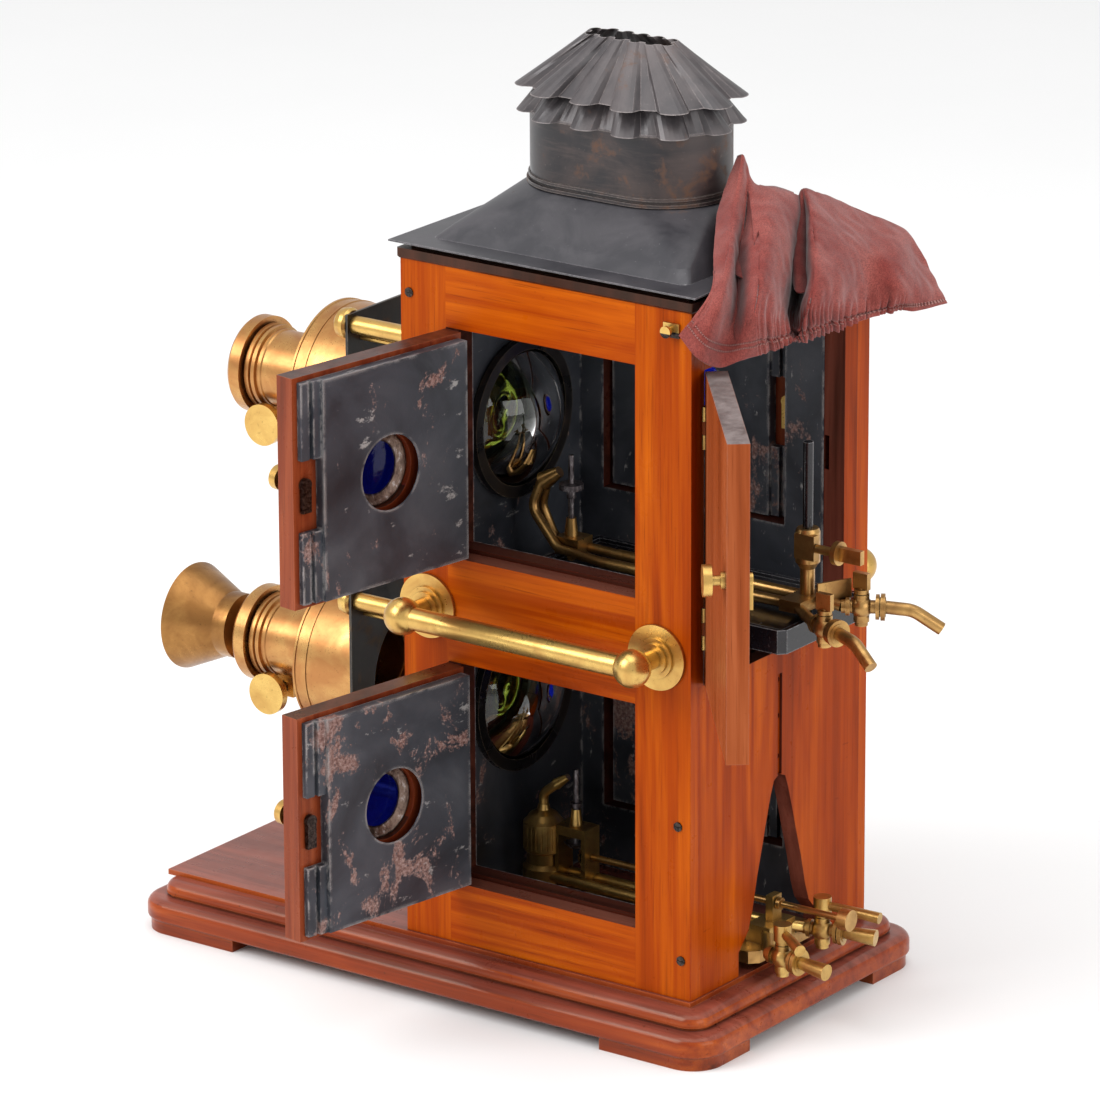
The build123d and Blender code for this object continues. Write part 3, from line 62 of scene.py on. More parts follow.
class Graph:
    """A material and short calls that add its nodes."""

    def __init__(self, name):
        self.mat = bpy.data.materials.new(name)
        self.mat.use_nodes = True
        self.tree = self.mat.node_tree
        self.tree.nodes.clear()
        self.out = self.add("ShaderNodeOutputMaterial")
        self.shader = self.add("ShaderNodeBsdfPrincipled")
        self.link(self.shader.outputs[0], self.out.inputs[0])
        self.coord = self.add("ShaderNodeTexCoord").outputs["Object"]

    def add(self, kind, **props):
        node = self.tree.nodes.new(kind)
        for key, value in props.items():
            setattr(node, key, value)
        return node

    def link(self, a, b):
        self.tree.links.new(a, b)

    def put(self, socket, value):
        if hasattr(value, "is_output") or isinstance(value, bpy.types.NodeSocket):
            self.link(value, socket)
        elif value is not None:
            socket.default_value = value

    def set(self, **values):
        for key, value in values.items():
            self.put(self.shader.inputs[key.replace("_", " ")], value)
        return self

    def scaled(self, sx, sy, sz, shift=(0, 0, 0), turn=(0, 0, 0), source=None):
        node = self.add("ShaderNodeMapping")
        self.put(node.inputs["Vector"], source or self.coord)
        node.inputs["Scale"].default_value = (sx, sy, sz)
        node.inputs["Location"].default_value = shift
        node.inputs["Rotation"].default_value = turn
        return node.outputs[0]

    def noise(self, vec, scale=1.0, detail=4.0, rough=0.55, bend=0.0):
        node = self.add("ShaderNodeTexNoise")
        self.put(node.inputs["Vector"], vec)
        node.inputs["Scale"].default_value = scale
        node.inputs["Detail"].default_value = detail
        node.inputs["Roughness"].default_value = rough
        node.inputs["Distortion"].default_value = bend
        return node.outputs["Fac"]

    def ramp(self, fac, *stops):
        """Each stop is (position, colour or number)."""
        node = self.add("ShaderNodeValToRGB")
        elements = node.color_ramp.elements
        while len(elements) < len(stops):
            elements.new(0.5)
        for element, (pos, value) in zip(elements, stops):
            element.position = pos
            if isinstance(value, (int, float)):
                value = (value, value, value, 1)
            element.color = value
        self.put(node.inputs[0], fac)
        return node.outputs[0]

    def mix(self, fac, a, b, mode="MIX"):
        node = self.add("ShaderNodeMix", data_type="RGBA", blend_type=mode)
        self.put(node.inputs[0], fac)
        self.put(node.inputs[6], a)
        self.put(node.inputs[7], b)
        return node.outputs[2]

    def math(self, op, a, b=None, clamp=False):
        node = self.add("ShaderNodeMath", operation=op, use_clamp=clamp)
        self.put(node.inputs[0], a)
        if b is not None:
            self.put(node.inputs[1], b)
        return node.outputs[0]

    def split(self, vec=None):
        node = self.add("ShaderNodeSeparateXYZ")
        self.put(node.inputs[0], vec or self.coord)
        return node.outputs[0], node.outputs[1], node.outputs[2]

    def facing(self, axis, low=0.6):
        """1 on faces that look along one axis, 0 elsewhere (-1 ... 1 of the normal)."""
        normal = self.add("ShaderNodeNewGeometry").outputs["Normal"]
        return self.math("GREATER_THAN", self.split(normal)[axis], low)

    def along(self, origin, direction):
        """Distance of the surface from a point, measured along a direction."""
        off = self.add("ShaderNodeVectorMath", operation="SUBTRACT")
        self.link(self.coord, off.inputs[0])
        off.inputs[1].default_value = origin
        dot = self.add("ShaderNodeVectorMath", operation="DOT_PRODUCT")
        self.link(off.outputs[0], dot.inputs[0])
        dot.inputs[1].default_value = direction
        return dot.outputs["Value"]

    def edges(self, width):
        """1 on the model's edges, 0 on its faces."""
        bevel = self.add("ShaderNodeBevel", samples=4)
        bevel.inputs["Radius"].default_value = width
        normal = self.add("ShaderNodeNewGeometry").outputs["Normal"]
        dot = self.add("ShaderNodeVectorMath", operation="DOT_PRODUCT")
        self.link(bevel.outputs[0], dot.inputs[0])
        self.link(normal, dot.inputs[1])
        return self.ramp(dot.outputs["Value"], (0.80, 1.0), (0.97, 0.0))

    def hollows(self, distance):
        """1 in the open, less in corners."""
        node = self.add("ShaderNodeAmbientOcclusion", samples=4)
        node.inputs["Distance"].default_value = distance
        return node.outputs["AO"]

    def bump(self, height, strength=0.3, distance=0.0005):
        node = self.add("ShaderNodeBump")
        node.inputs["Strength"].default_value = strength
        node.inputs["Distance"].default_value = distance
        self.put(node.inputs["Height"], height)
        self.link(node.outputs[0], self.shader.inputs["Normal"])
        return node.outputs[0]


def paint(material, *nodes):
    """Give CAD nodes a material."""
    for name in nodes:
        slots = NODES[name].data.materials
        slots.clear()
        slots.append(material)


# ---- materials ---------------------------------------------------------------
def grain_field(g, axis, shift=0.0):
    """Long fibres and slow figure along one axis; returns (fibre, figure, pores)."""
    fine = [150.0, 150.0, 150.0]
    fine[axis] = 3.5
    slow = [26.0, 26.0, 26.0]
    slow[axis] = 2.6
    pore = [900.0, 900.0, 900.0]
    pore[axis] = 22.0
    at = (shift, shift * 1.7, shift * 0.6)
    fibre = g.noise(g.scaled(*fine, shift=at), 1.0, 6.0, 0.62, 0.15)
    figure = g.noise(g.scaled(*slow, shift=at), 1.0, 3.0, 0.5, 1.6)
    pores = g.noise(g.scaled(*pore, shift=at), 1.0, 2.0, 0.5)
    return fibre, figure, pores


def wood(name, dark, mid, light, edge, axis=2, shift=0.0, fields=None, polish=0.06,
         wear=0.5, scratch=0.35, gloss=0.25, regions=()):
    """French-polished mahogany with pores, figure, worn edges and fine scratches."""
    g = Graph(name)
    fibre, figure, pores = fields(g) if fields else grain_field(g, axis, shift)
    tone = g.mix(0.55, fibre, figure)
    colour = g.ramp(tone, (0.30, dark), (0.47, mid), (0.66, light))
    patch = g.noise(g.scaled(9, 9, 6, shift=(shift, 3, 1)), 1.0, 3.0, 0.5)
    colour = g.mix(g.ramp(patch, (0.40, 0.0), (0.68, 0.55)), colour, mid)
    # Regions recolour chosen faces: painted shade in reveals and inside the case, painted light and shade
    # on top faces.
    for where, deep, pale in regions:
        colour = g.mix(where(g), colour, g.ramp(tone, (0.32, deep), (0.64, pale)))
    colour = g.mix(g.ramp(pores, (0.60, 0.0), (0.76, 0.55)), colour, dark)
    marks = g.noise(g.scaled(60, 240, 240, shift=(5, shift, 2), turn=(0.5, 0.3, 0.9)), 1.0, 2.0, 0.6)
    colour = g.mix(g.ramp(marks, (0.70, 0.0), (0.78, scratch)), colour, dark)
    rim = g.edges(0.0016)
    ragged = g.noise(g.scaled(90, 90, 90), 1.0, 4.0, 0.6)
    rim = g.math("MULTIPLY", rim, g.ramp(ragged, (0.35, 0.25), (0.60, 1.0)))
    colour = g.mix(g.math("MULTIPLY", rim, wear), colour, edge)
    # Painted shade: the wood is darkened in its corners and hollows.
    corner_shade = g.ramp(g.hollows(0.02), (0.25, 0.55), (0.75, 0.0))
    colour = g.mix(corner_shade, colour, (dark[0] * 0.3, dark[1] * 0.3, dark[2] * 0.3, 1))
    rough = g.ramp(g.mix(0.5, patch, ragged), (0.35, 0.24), (0.65, 0.42))
    g.set(Base_Color=colour, Roughness=rough, Coat_Weight=polish, Coat_Roughness=0.12,
          Specular_IOR_Level=gloss, Specular_Tint=(1.0, 0.75, 0.5, 1.0))
    g.bump(g.mix(0.6, fibre, pores), 0.12, 0.0003)
    return g.mat


def brass(name, bright, warm, tarnish, rough=(0.20, 0.40), warmth=0.5, blackened_or_shaded=None):
    """Old lacquered brass: gold where rubbed, orange-brown lacquer, dark corners."""
    g = Graph(name)
    cloud = g.noise(g.scaled(34, 34, 34, shift=(warmth, 1, 2)), 1.0, 5.0, 0.6, 0.6)
    speck = g.noise(g.scaled(420, 420, 420), 1.0, 3.0, 0.7)
    colour = g.mix(g.ramp(cloud, (0.5 - 0.35 * warmth, 0.0), (0.85 - 0.4 * warmth, 1.0)),
                   bright, warm)
    colour = g.mix(g.ramp(speck, (0.62, 0.0), (0.74, 0.45)), colour, tarnish)
    corner = g.ramp(g.hollows(0.006), (0.30, 0.85), (0.80, 0.0))
    colour = g.mix(corner, colour, tarnish)
    rim = g.edges(0.0007)
    colour = g.mix(g.math("MULTIPLY", rim, 0.6), colour, bright)
    # The masked part is painted dark: black finish on the case fittings, painted shadow of the door on the
    # catch.
    if blackened_or_shaded:
        colour = g.mix(blackened_or_shaded(g), colour, g.ramp(speck, (0.4, lin(34, 28, 26)), (0.7, lin(84, 74, 68))))
    g.set(Base_Color=colour, Metallic=0.92, Coat_Weight=0.12, Coat_Roughness=0.2,
          Roughness=g.ramp(g.mix(0.5, cloud, speck), (0.35, rough[0]), (0.7, rough[1])))
    brushed = g.noise(g.scaled(500, 60, 500), 1.0, 2.0, 0.5)
    g.bump(g.mix(0.7, speck, brushed), 0.06, 0.0002)
    return g.mat


def japanned(name, base, worn, bare, rust, amount=0.5, shine=(0.30, 0.55), brush=(40, 40, 40)):
    """Black japan on tin: rubbed grey, brown rust spots and bare bright edges."""
    g = Graph(name)
    cloud = g.noise(g.scaled(16, 16, 16), 1.0, 6.0, 0.6, 0.8)
    speck = g.noise(g.scaled(300, 300, 300), 1.0, 4.0, 0.7)
    streak = g.noise(g.scaled(*brush), 1.0, 5.0, 0.65)
    colour = g.mix(g.ramp(cloud, (0.40, 0.0), (0.70, 1.0)), base, worn)
    colour = g.mix(g.ramp(streak, (0.50, 0.0), (0.75, 0.5)), colour, worn)
    spots = g.noise(g.scaled(55, 55, 55, shift=(3, 8, 1)), 1.0, 8.0, 0.72, 0.4)
    where = g.ramp(g.mix(0.35, spots, cloud), (0.60 - 0.10 * amount, 0.0), (0.66 - 0.08 * amount, 1.0))
    colour = g.mix(g.math("MULTIPLY", where, 0.8), colour, rust)
    colour = g.mix(g.ramp(speck, (0.66, 0.0), (0.78, 0.55)), colour, bare)
    rim = g.math("MULTIPLY", g.edges(0.0012), g.ramp(speck, (0.35, 0.2), (0.55, 0.9)))
    colour = g.mix(rim, colour, bare)
    # Painted shade: the japan is darkened in its hollows.
    hollow_shade = g.ramp(g.hollows(0.010), (0.2, 0.75), (0.7, 0.0))
    colour = g.mix(hollow_shade, colour, (base[0] * 0.25, base[1] * 0.25, base[2] * 0.25, 1))
    rough = g.mix(where, g.ramp(cloud, (0.3, shine[0]), (0.7, shine[1])), (0.8, 0.8, 0.8, 1))
    g.set(Base_Color=colour, Roughness=rough, Metallic=0.15, Coat_Weight=0.15, Coat_Roughness=0.3)
    g.bump(g.mix(0.45, g.mix(where, cloud, spots), speck), 0.22, 0.0006)
    return g.mat


def lining(name, seed, rusting):
    """Smoke-stained tin with blotches of pinkish rust and pale scraped places."""
    g = Graph(name)
    base = lin(60, 63, 70)
    cloud = g.noise(g.scaled(14, 14, 14, shift=(seed, 2, seed)), 1.0, 5.0, 0.55, 0.5)
    colour = g.ramp(cloud, (0.32, lin(38, 40, 46)), (0.5, base), (0.72, lin(84, 86, 92)))
    blot = g.noise(g.scaled(30, 30, 22, shift=(seed * 2, seed, 4)), 1.0, 9.0, 0.70, 0.5)
    grainy = g.noise(g.scaled(420, 420, 420), 1.0, 3.0, 0.75)
    low = 0.62 - 0.08 * rusting
    where = g.ramp(g.mix(0.12, blot, grainy), (low, 0.0), (low + 0.035, 1.0))
    rust = g.ramp(grainy, (0.35, lin(96, 66, 60)), (0.52, lin(140, 108, 100)), (0.68, lin(168, 146, 140)))
    colour = g.mix(where, colour, rust)
    scrape = g.noise(g.scaled(26, 150, 60, shift=(seed, 7, 3)), 1.0, 6.0, 0.7)
    pale = g.ramp(scrape, (0.63, 0.0), (0.68, 0.85))
    colour = g.mix(pale, colour, lin(170, 168, 166))
    rim = g.math("MULTIPLY", g.edges(0.0032), g.ramp(scrape, (0.44, 0.0), (0.54, 0.95)))
    colour = g.mix(rim, colour, lin(165, 160, 158))
    rough = g.mix(where, g.ramp(cloud, (0.3, 0.34), (0.7, 0.52)), (0.85, 0.85, 0.85, 1))
    g.set(Base_Color=colour, Metallic=0.25, Roughness=rough)
    g.bump(g.mix(0.5, where, grainy), 0.35, 0.0006)
    return g.mat


def steel(name, base, spot, rough=0.35):
    g = Graph(name)
    scratch = g.noise(g.scaled(300, 300, 120), 1.0, 6.0, 0.7)
    colour = g.ramp(scratch, (0.35, spot), (0.55, base), (0.72, lin(200, 196, 196)))
    g.set(Base_Color=colour, Metallic=0.85, Roughness=g.ramp(scratch, (0.3, rough), (0.7, rough + 0.25)))
    g.bump(scratch, 0.35, 0.0005)
    return g.mat


def glass(name, tint, ior=1.5, rough=0.0):
    g = Graph(name)
    smear = g.noise(g.scaled(40, 40, 40), 1.0, 4.0, 0.6)
    g.set(Base_Color=g.mix(g.ramp(smear, (0.5, 0.0), (0.8, 0.10)), tint, lin(230, 235, 220)),
          Roughness=rough, IOR=ior, Transmission_Weight=1.0)
    return g.mat


def coloured_glass(name, tint, deep):
    """Cobalt sight glass, its colour flowing between a bright and a deep blue."""
    g = Graph(name)
    flow = g.noise(g.scaled(30, 30, 60), 1.0, 3.0, 0.5, 1.2)
    # The emission is a painted glow: the glass gives a little light of its own.
    g.set(Base_Color=g.mix(flow, tint, deep), Roughness=0.03, IOR=1.3, Transmission_Weight=0.9,
          Emission_Color=tint, Emission_Strength=0.05)
    g.bump(flow, 0.15, 0.001)
    return g.mat


def side_fields(g):
    """Upright grain in the stiles and level grain in the rails."""
    upright = grain_field(g, 2, 1.0)
    level = grain_field(g, 1, 4.0)
    _, y, _ = g.split()
    stile = g.math("MAXIMUM", g.math("GREATER_THAN", y, 0.0765), g.math("LESS_THAN", y, -0.0846))
    return [g.mix(stile, b, a) for a, b in zip(upright, level)]




def inside_case(g):
    """Faces of the side frames that look into the case, which get painted shade."""
    x = g.math("ABSOLUTE", g.split()[0])
    return g.math("LESS_THAN", x, STOP_FACE)


def reveals(g):
    """Faces of the side frames that line the doorways, which get painted shade."""
    _, y, _ = g.split()
    normal = g.add("ShaderNodeNewGeometry").outputs["Normal"]
    across = g.math("LESS_THAN", g.math("ABSOLUTE", g.split(normal)[0]), 0.5)
    return g.math("MULTIPLY", across, g.math("LESS_THAN", g.math("ABSOLUTE", y), 0.121))


def rear_reveals(g):
    """Faces of the rear and front frames that look sideways into their openings, which get painted shade.
    """
    x = g.math("LESS_THAN", g.math("ABSOLUTE", g.split()[0]), 0.1)
    normal = g.add("ShaderNodeNewGeometry").outputs["Normal"]
    return g.math("MULTIPLY", x, g.math("GREATER_THAN", g.math("ABSOLUTE", g.split(normal)[0]), 0.5))


# Top faces; the wood materials tint these with painted light and shade.
def upward(g):
    return g.facing(2)


def behind_door(g):
    """The catch's tongue, behind the inner face of the opened door, where the door's painted shadow goes.
    """
    outward = (math.cos(DOOR_SWING), math.sin(DOOR_SWING), 0)
    return g.math("LESS_THAN", g.along(HINGE, outward), -DOOR_DEEP)


def all_but_hook(g):
    """Every case fitting except the curtain hook at the top rear corner."""
    _, y, z = g.split()
    hook = g.math("MULTIPLY", g.math("GREATER_THAN", y, HOOK[0]), g.math("GREATER_THAN", z, HOOK[1]))
    return g.math("SUBTRACT", 1.0, hook)


AMBER = dict(dark=lin(104, 32, 3), mid=lin(158, 60, 3), light=lin(204, 100, 8), edge=lin(110, 32, 12))
# The side frames' reveals and inner faces are painted darker: painted shade.
M_SIDE = wood("mahogany_side", fields=side_fields, wear=0.6, polish=0.0, gloss=0.1,
              regions=[(reveals, lin(66, 30, 22), lin(136, 82, 66)),
                       (inside_case, lin(26, 12, 10), lin(84, 44, 34))], **AMBER)
# Top faces and the sideways faces of the openings are painted darker: painted shade.
M_REAR = wood("mahogany_rear", lin(88, 24, 2), lin(148, 54, 3), lin(192, 88, 6), lin(96, 28, 12),
              axis=2, shift=7.0, wear=0.6, polish=0.0, gloss=0.08,
              regions=[(upward, lin(30, 12, 8), lin(90, 48, 34)),
                       (rear_reveals, lin(60, 26, 18), lin(128, 68, 54))])
# Top faces are painted paler: painted light.
M_BASE = wood("mahogany_base", lin(60, 12, 3), lin(132, 44, 7), lin(178, 80, 18), lin(190, 110, 74),
              axis=1, shift=2.0, wear=0.7, scratch=0.8, polish=0.2, gloss=0.35,
              regions=[(upward, lin(84, 30, 22), lin(150, 78, 62))])
# Top faces are painted darker: painted shade.
M_DOOR = wood("mahogany_door", lin(66, 20, 8), lin(118, 46, 22), lin(156, 76, 42), lin(160, 86, 56),
              axis=2, shift=11.0, wear=0.6, regions=[(upward, lin(34, 12, 8), lin(84, 40, 26))])
# Top faces are painted grey: painted sheen.
M_REAR_DOOR = wood("mahogany_rear_door", lin(84, 32, 14), lin(142, 68, 34), lin(182, 102, 62),
                   lin(160, 110, 92), axis=2, shift=15.0, wear=0.6, polish=0.0, gloss=0.08,
                   regions=[(upward, lin(92, 82, 80), lin(140, 130, 128))])
M_DARK = wood("dark_inner_wood", lin(24, 10, 8), lin(46, 20, 14), lin(70, 34, 24), lin(80, 50, 40),
              axis=2, shift=3.0, polish=0.1)
M_BRASS = brass("brass_fittings", lin(218, 180, 102), lin(190, 144, 78), lin(92, 62, 32),
                rough=(0.24, 0.42), warmth=0.35)
# The catch is painted dark behind the open door: painted shadow.
M_CATCH = brass("brass_catch", lin(218, 180, 102), lin(190, 144, 78), lin(92, 62, 32),
                rough=(0.24, 0.42), warmth=0.35, blackened_or_shaded=behind_door)
M_FITTINGS = brass("case_fittings_metal", lin(218, 180, 102), lin(190, 144, 78), lin(92, 62, 32),
                   rough=(0.28, 0.46), warmth=0.35, blackened_or_shaded=all_but_hook)
M_LACQUER = brass("brass_lacquered", lin(208, 162, 98), lin(180, 124, 72), lin(96, 56, 30),
                  rough=(0.24, 0.42), warmth=0.6)
M_HOOD = brass("brass_hood", lin(178, 130, 72), lin(138, 94, 48), lin(62, 38, 20),
               rough=(0.26, 0.44), warmth=0.6)
M_TUBE = brass("copper_tap", lin(208, 166, 100), lin(152, 112, 64), lin(62, 42, 24),
               rough=(0.26, 0.46), warmth=0.55)
M_JET = brass("brass_jet", lin(214, 178, 104), lin(170, 130, 72), lin(80, 56, 32),
              rough=(0.26, 0.44), warmth=0.4)
M_CELL = japanned("blackened_cell", lin(10, 9, 10), lin(38, 32, 30), lin(110, 96, 76), lin(70, 52, 40), 0.2,
                  shine=(0.2, 0.4))
M_ROOF = japanned("black_japan_roof", lin(48, 47, 52), lin(76, 73, 77), lin(150, 146, 148),
                  lin(92, 74, 66), 0.1)
M_NECK = japanned("black_japan_neck", lin(26, 22, 26), lin(76, 62, 58), lin(140, 128, 122),
                  lin(100, 70, 52), 0.7, brush=(30, 30, 300))
M_COWL = japanned("black_japan_cowl", lin(64, 60, 62), lin(98, 90, 90), lin(150, 140, 138),
                  lin(104, 76, 60), 0.35)
M_PLATE = japanned("black_stage_plate", lin(18, 17, 17), lin(52, 44, 36), lin(110, 100, 84),
                  lin(96, 78, 56), 0.6)
M_TRAY = japanned("black_tray", lin(12, 10, 14), lin(28, 26, 32), lin(170, 170, 172), lin(60, 40, 34), 0.3,
                  shine=(0.12, 0.3), brush=(20, 90, 90))
M_LINER_A = lining("tin_liner_a", 1.0, 0.4)
M_LINER_B = lining("tin_liner_b", 6.0, 0.85)
M_INNER = lining("tin_inner", 3.0, 0.45)
M_STEEL = steel("steel_worn", lin(120, 112, 114), lin(54, 48, 50))
M_CONDENSER = glass("condenser_glass", lin(176, 190, 160))
M_BLUE = coloured_glass("cobalt_glass", lin(14, 28, 150), lin(4, 6, 50))

paint(M_SIDE, "side_frame_right", "side_frame_left")
paint(M_REAR, "rear_frame", "front_board")
paint(M_BASE, "base_board", "base_feet")
paint(M_DARK, "chamber_floor", "top_moulding")
paint(M_INNER, "tin_lining")
paint(M_FITTINGS, "case_fittings")
paint(M_CELL, "condenser_cells")
paint(M_HOOD, "lens_hood")
paint(M_JET, "lower_jet", "lower_tap_right", "lower_tap_left")
paint(M_BRASS, "handrails", "door_hinges", "stage_pillars", "slide_springs",
      "upper_focus_pinion", "lower_focus_pinion", "rear_door_catch")
paint(M_LACQUER, "lens_jackets", "upper_objective_tube", "lower_objective_tube")
paint(M_PLATE, "stage_plates")
paint(M_ROOF, "roof_cove")
paint(M_NECK, "chimney_neck")
paint(M_COWL, "cowl_lower", "cowl_upper")
paint(M_TRAY, "upper_tray")
paint(M_TUBE, "upper_jet", "lower_tray", "control_rod", "upper_tap_right", "upper_tap_left",
      "upper_clamp_screw")
paint(M_STEEL, "upper_lime_pin", "lower_lime_pin")
paint(M_CONDENSER, "condenser_glasses", "upper_objective_glass", "lower_objective_glass")
paint(M_REAR_DOOR, "rear_door")
for side in ("right", "left"):
    for level in ("upper", "lower"):
        paint(M_DOOR, f"{side}_{level}_door")
        paint(M_LINER_A if level == "upper" else M_LINER_B, f"{side}_{level}_door_liner")
        paint(M_BLUE, f"{side}_{level}_door_glass")
        paint(M_CATCH if side == "right" else M_BRASS, f"{side}_{level}_door_catch")

# ---- mesh helpers ------------------------------------------------------------------
def add_mesh(name, verts, faces, material, body="case", smooth=True):
    mesh = bpy.data.meshes.new(name)
    mesh.from_pydata(verts, [], faces)
    mesh.update()
    for polygon in mesh.polygons:
        polygon.use_smooth = smooth
    mesh.materials.append(material)
    obj = bpy.data.objects.new(name, mesh)
    bpy.context.scene.collection.objects.link(obj)
    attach(obj, body)
    return obj


def lathe(profile, centre, axis, segments=96):
    """Turned closed ring of (radius, distance) pairs about an axis through a point."""
    axis = Vector(axis).normalized()
    side = axis.orthogonal().normalized()
    other = axis.cross(side)
    verts, faces = [], []
    count = len(profile)
    for i in range(segments):
        a = 2 * math.pi * i / segments
        out = side * math.cos(a) + other * math.sin(a)
        for radius, along in profile:
            verts.append(Vector(centre) + out * radius + axis * along)
    for i in range(segments):
        j = (i + 1) % segments
        for k in range(count):
            m = (k + 1) % count
            faces.append((i * count + k, i * count + m, j * count + m, j * count + k))
    return verts, faces


def sag(values, t):
    """Smooth curve through evenly spaced points, t running over their numbers."""
    last = len(values) - 1
    i = min(int(t), last - 1)
    f = t - i
    a = values[max(i - 1, 0)]
    b = values[i]
    c = values[i + 1]
    d = values[min(i + 2, last)]
    return 0.5 * ((2 * b) + (c - a) * f + (2 * a - 5 * b + 4 * c - d) * f * f
                  + (3 * b - a - 3 * c + d) * f * f * f)


def ease(low, high, x):
    t = min(max((x - low) / (high - low), 0.0), 1.0)
    return t * t * (3 - 2 * t)


# ---- curtain ---------------------------------------------------------------------------
# How the cloth lies, in millimetres: each line runs from the top of the bundle to the
# gathered hem, and the lines go from the hook round to the loose corner.
# Each y was chosen by hand; the x and z beside it were worked out by a scratch program.
CLOTH = (
    ((-6, 81, 618), (19, 84, 590), (61, 108, 571), (103, 134, 555), (121, 121, 527)),
    ((-5, 86, 620), (26, 101, 594), (69, 127, 572), (105, 145, 549), (122, 137, 514)),
    ((-10, 85, 613), (15, 102, 590), (51, 122, 564), (80, 139, 540), (104, 143, 504)),
    ((-8, 94, 601), (29, 120, 583), (65, 143, 563), (87, 154, 539), (88, 150, 507)),
    ((-21, 104, 596), (23, 132, 581), (61, 153, 561), (84, 162, 540), (68, 153, 507)),
    ((-43, 106, 587), (-8, 128, 566), (29, 146, 547), (52, 156, 529), (46, 154, 507)),
    ((-60, 98, 581), (-54, 104, 555), (-39, 112, 531), (-3, 132, 518), (34, 155, 507)),
    ((-51, 108, 589), (-11, 140, 570), (20, 160, 549), (34, 166, 532), (24, 157, 507)),
    ((-85, 112, 574), (-35, 146, 563), (-1, 167, 547), (8, 170, 530), (-7, 160, 507)),
    ((-108, 124, 561), (-63, 152, 551), (-49, 160, 534), (-46, 162, 519), (-38, 166, 508)),
    ((-122, 138, 551), (-86, 162, 545), (-66, 176, 533), (-65, 178, 521), (-70, 172, 508)),
    ((-124, 148, 544), (-111, 160, 534), (-96, 172, 525), (-87, 178, 518), (-82, 180, 506)),
    ((-125, 158, 530), (-124, 164, 522), (-123, 170, 514), (-121, 176, 509), (-121, 181, 503)),
)
BEHIND = Vector((0, -13, -9))
TUCKED = Vector((-9, 12, 0))
RETURN_ROWS = 2
HEM_ROW = RETURN_ROWS + 4
STITCH_ROW = HEM_ROW - 0.42
CLOTH_U, CLOTH_V = 520, 180
SEAM_ROWS = [round(row / HEM_ROW * CLOTH_V) for row in (STITCH_ROW, STITCH_ROW + 0.09)]
random.seed(11)
PUCKERS = [(random.uniform(0.75, 1.25), random.uniform(0, 6.28)) for _ in range(6)]


def cloth_net():
    net = []
    for line in CLOTH:
        points = [Vector(p) for p in line]
        inner = [points[2] + BEHIND, points[1] + BEHIND]
        if line is CLOTH[0]:
            inner = [p + TUCKED for p in inner]
        for p in inner:
            if p.y < 131:
                p.z = max(p.z, 557)
        net.append(inner + points)
    return net


def cloth_point(net, u, v):
    across = [sag(line, v) for line in net]
    return sag(across, u)


def pucker(u):
    total = 0.0
    for k, (rate, phase) in enumerate(PUCKERS):
        total += math.sin(u * (14 + 3.1 * k) * rate + phase) / (1 + 0.35 * k)
    return total / 2.4


def build_curtain(material):
    net = cloth_net()
    last = len(net) - 1
    verts = []
    for i in range(CLOTH_U + 1):
        u = last * i / CLOTH_U
        for j in range(CLOTH_V + 1):
            v = HEM_ROW * j / CLOTH_V
            verts.append(cloth_point(net, u, v))
    row = CLOTH_V + 1
    faces = [(i * row + j, i * row + j + 1, (i + 1) * row + j + 1, (i + 1) * row + j)
             for i in range(CLOTH_U) for j in range(CLOTH_V)]
    mesh = bpy.data.meshes.new("curtain_shape")
    mesh.from_pydata(verts, [], faces)
    mesh.update()
    normals = [v.normal.copy() for v in mesh.vertices]
    out = []
    stitches = []
    for i in range(CLOTH_U + 1):
        u = last * i / CLOTH_U
        for j in range(row):
            v = HEM_ROW * j / CLOTH_V
            k = i * row + j
            n = normals[k]
            if n.y < 0 and v > RETURN_ROWS:
                n = -n
            gathered = ease(3.4, 4.8, u) * (1 - ease(9.6, 10.6, u))
            near_hem = ease(STITCH_ROW - 0.9, STITCH_ROW, v)
            fan = ease(STITCH_ROW - 1.7, STITCH_ROW - 0.2, v)
            lift = 1.9 * near_hem * pucker(u * 2.2) * gathered
            lift += 1.7 * fan * pucker(u * 0.8 + 3) * gathered
            pinch = math.exp(-((v - STITCH_ROW) / 0.05) ** 2)
            lift -= 1.6 * pinch * (0.3 + 0.7 * gathered)
            lift += 1.2 * ease(STITCH_ROW + 0.05, STITCH_ROW + 0.2, v) * gathered
            p = verts[k]
            lift += 1.6 * noise.noise(p * 0.035) + 0.7 * noise.noise(p * 0.11)
            q = (p + n * lift) * MM
            out.append(q)
            if j in SEAM_ROWS:
                stitches.append(q + n * 0.9 * MM)
    obj = add_mesh("curtain_cloth", out, faces, material)
    thick = obj.modifiers.new("thickness", "SOLIDIFY")
    thick.thickness = 0.0009
    thick.offset = 0
    return obj, stitches


def build_stitching(stitches, material):
    lines = {}
    for index, q in enumerate(stitches):
        lines.setdefault(index % 2, []).append(q)
    verts, faces = [], []
    half = 0.0005
    for points in lines.values():
        for k in range(4, len(points) - 8, 4):
            a, b = points[k], points[k + 2]
            d = (b - a).normalized()
            up = Vector((0, 0.7, 0.7))
            side = d.cross(up).normalized()
            up = side.cross(d).normalized()
            base = len(verts)
            for end in (a, b):
                for sx, sy in ((-1, -1), (1, -1), (1, 1), (-1, 1)):
                    verts.append(end + side * half * sx + up * half * 0.7 * sy)
            for m in range(4):
                n = (m + 1) % 4
                faces.append((base + m, base + n, base + 4 + n, base + 4 + m))
            faces.append((base, base + 3, base + 2, base + 1))
            faces.append((base + 4, base + 5, base + 6, base + 7))
    return add_mesh("curtain_stitching", verts, faces, material, smooth=False)


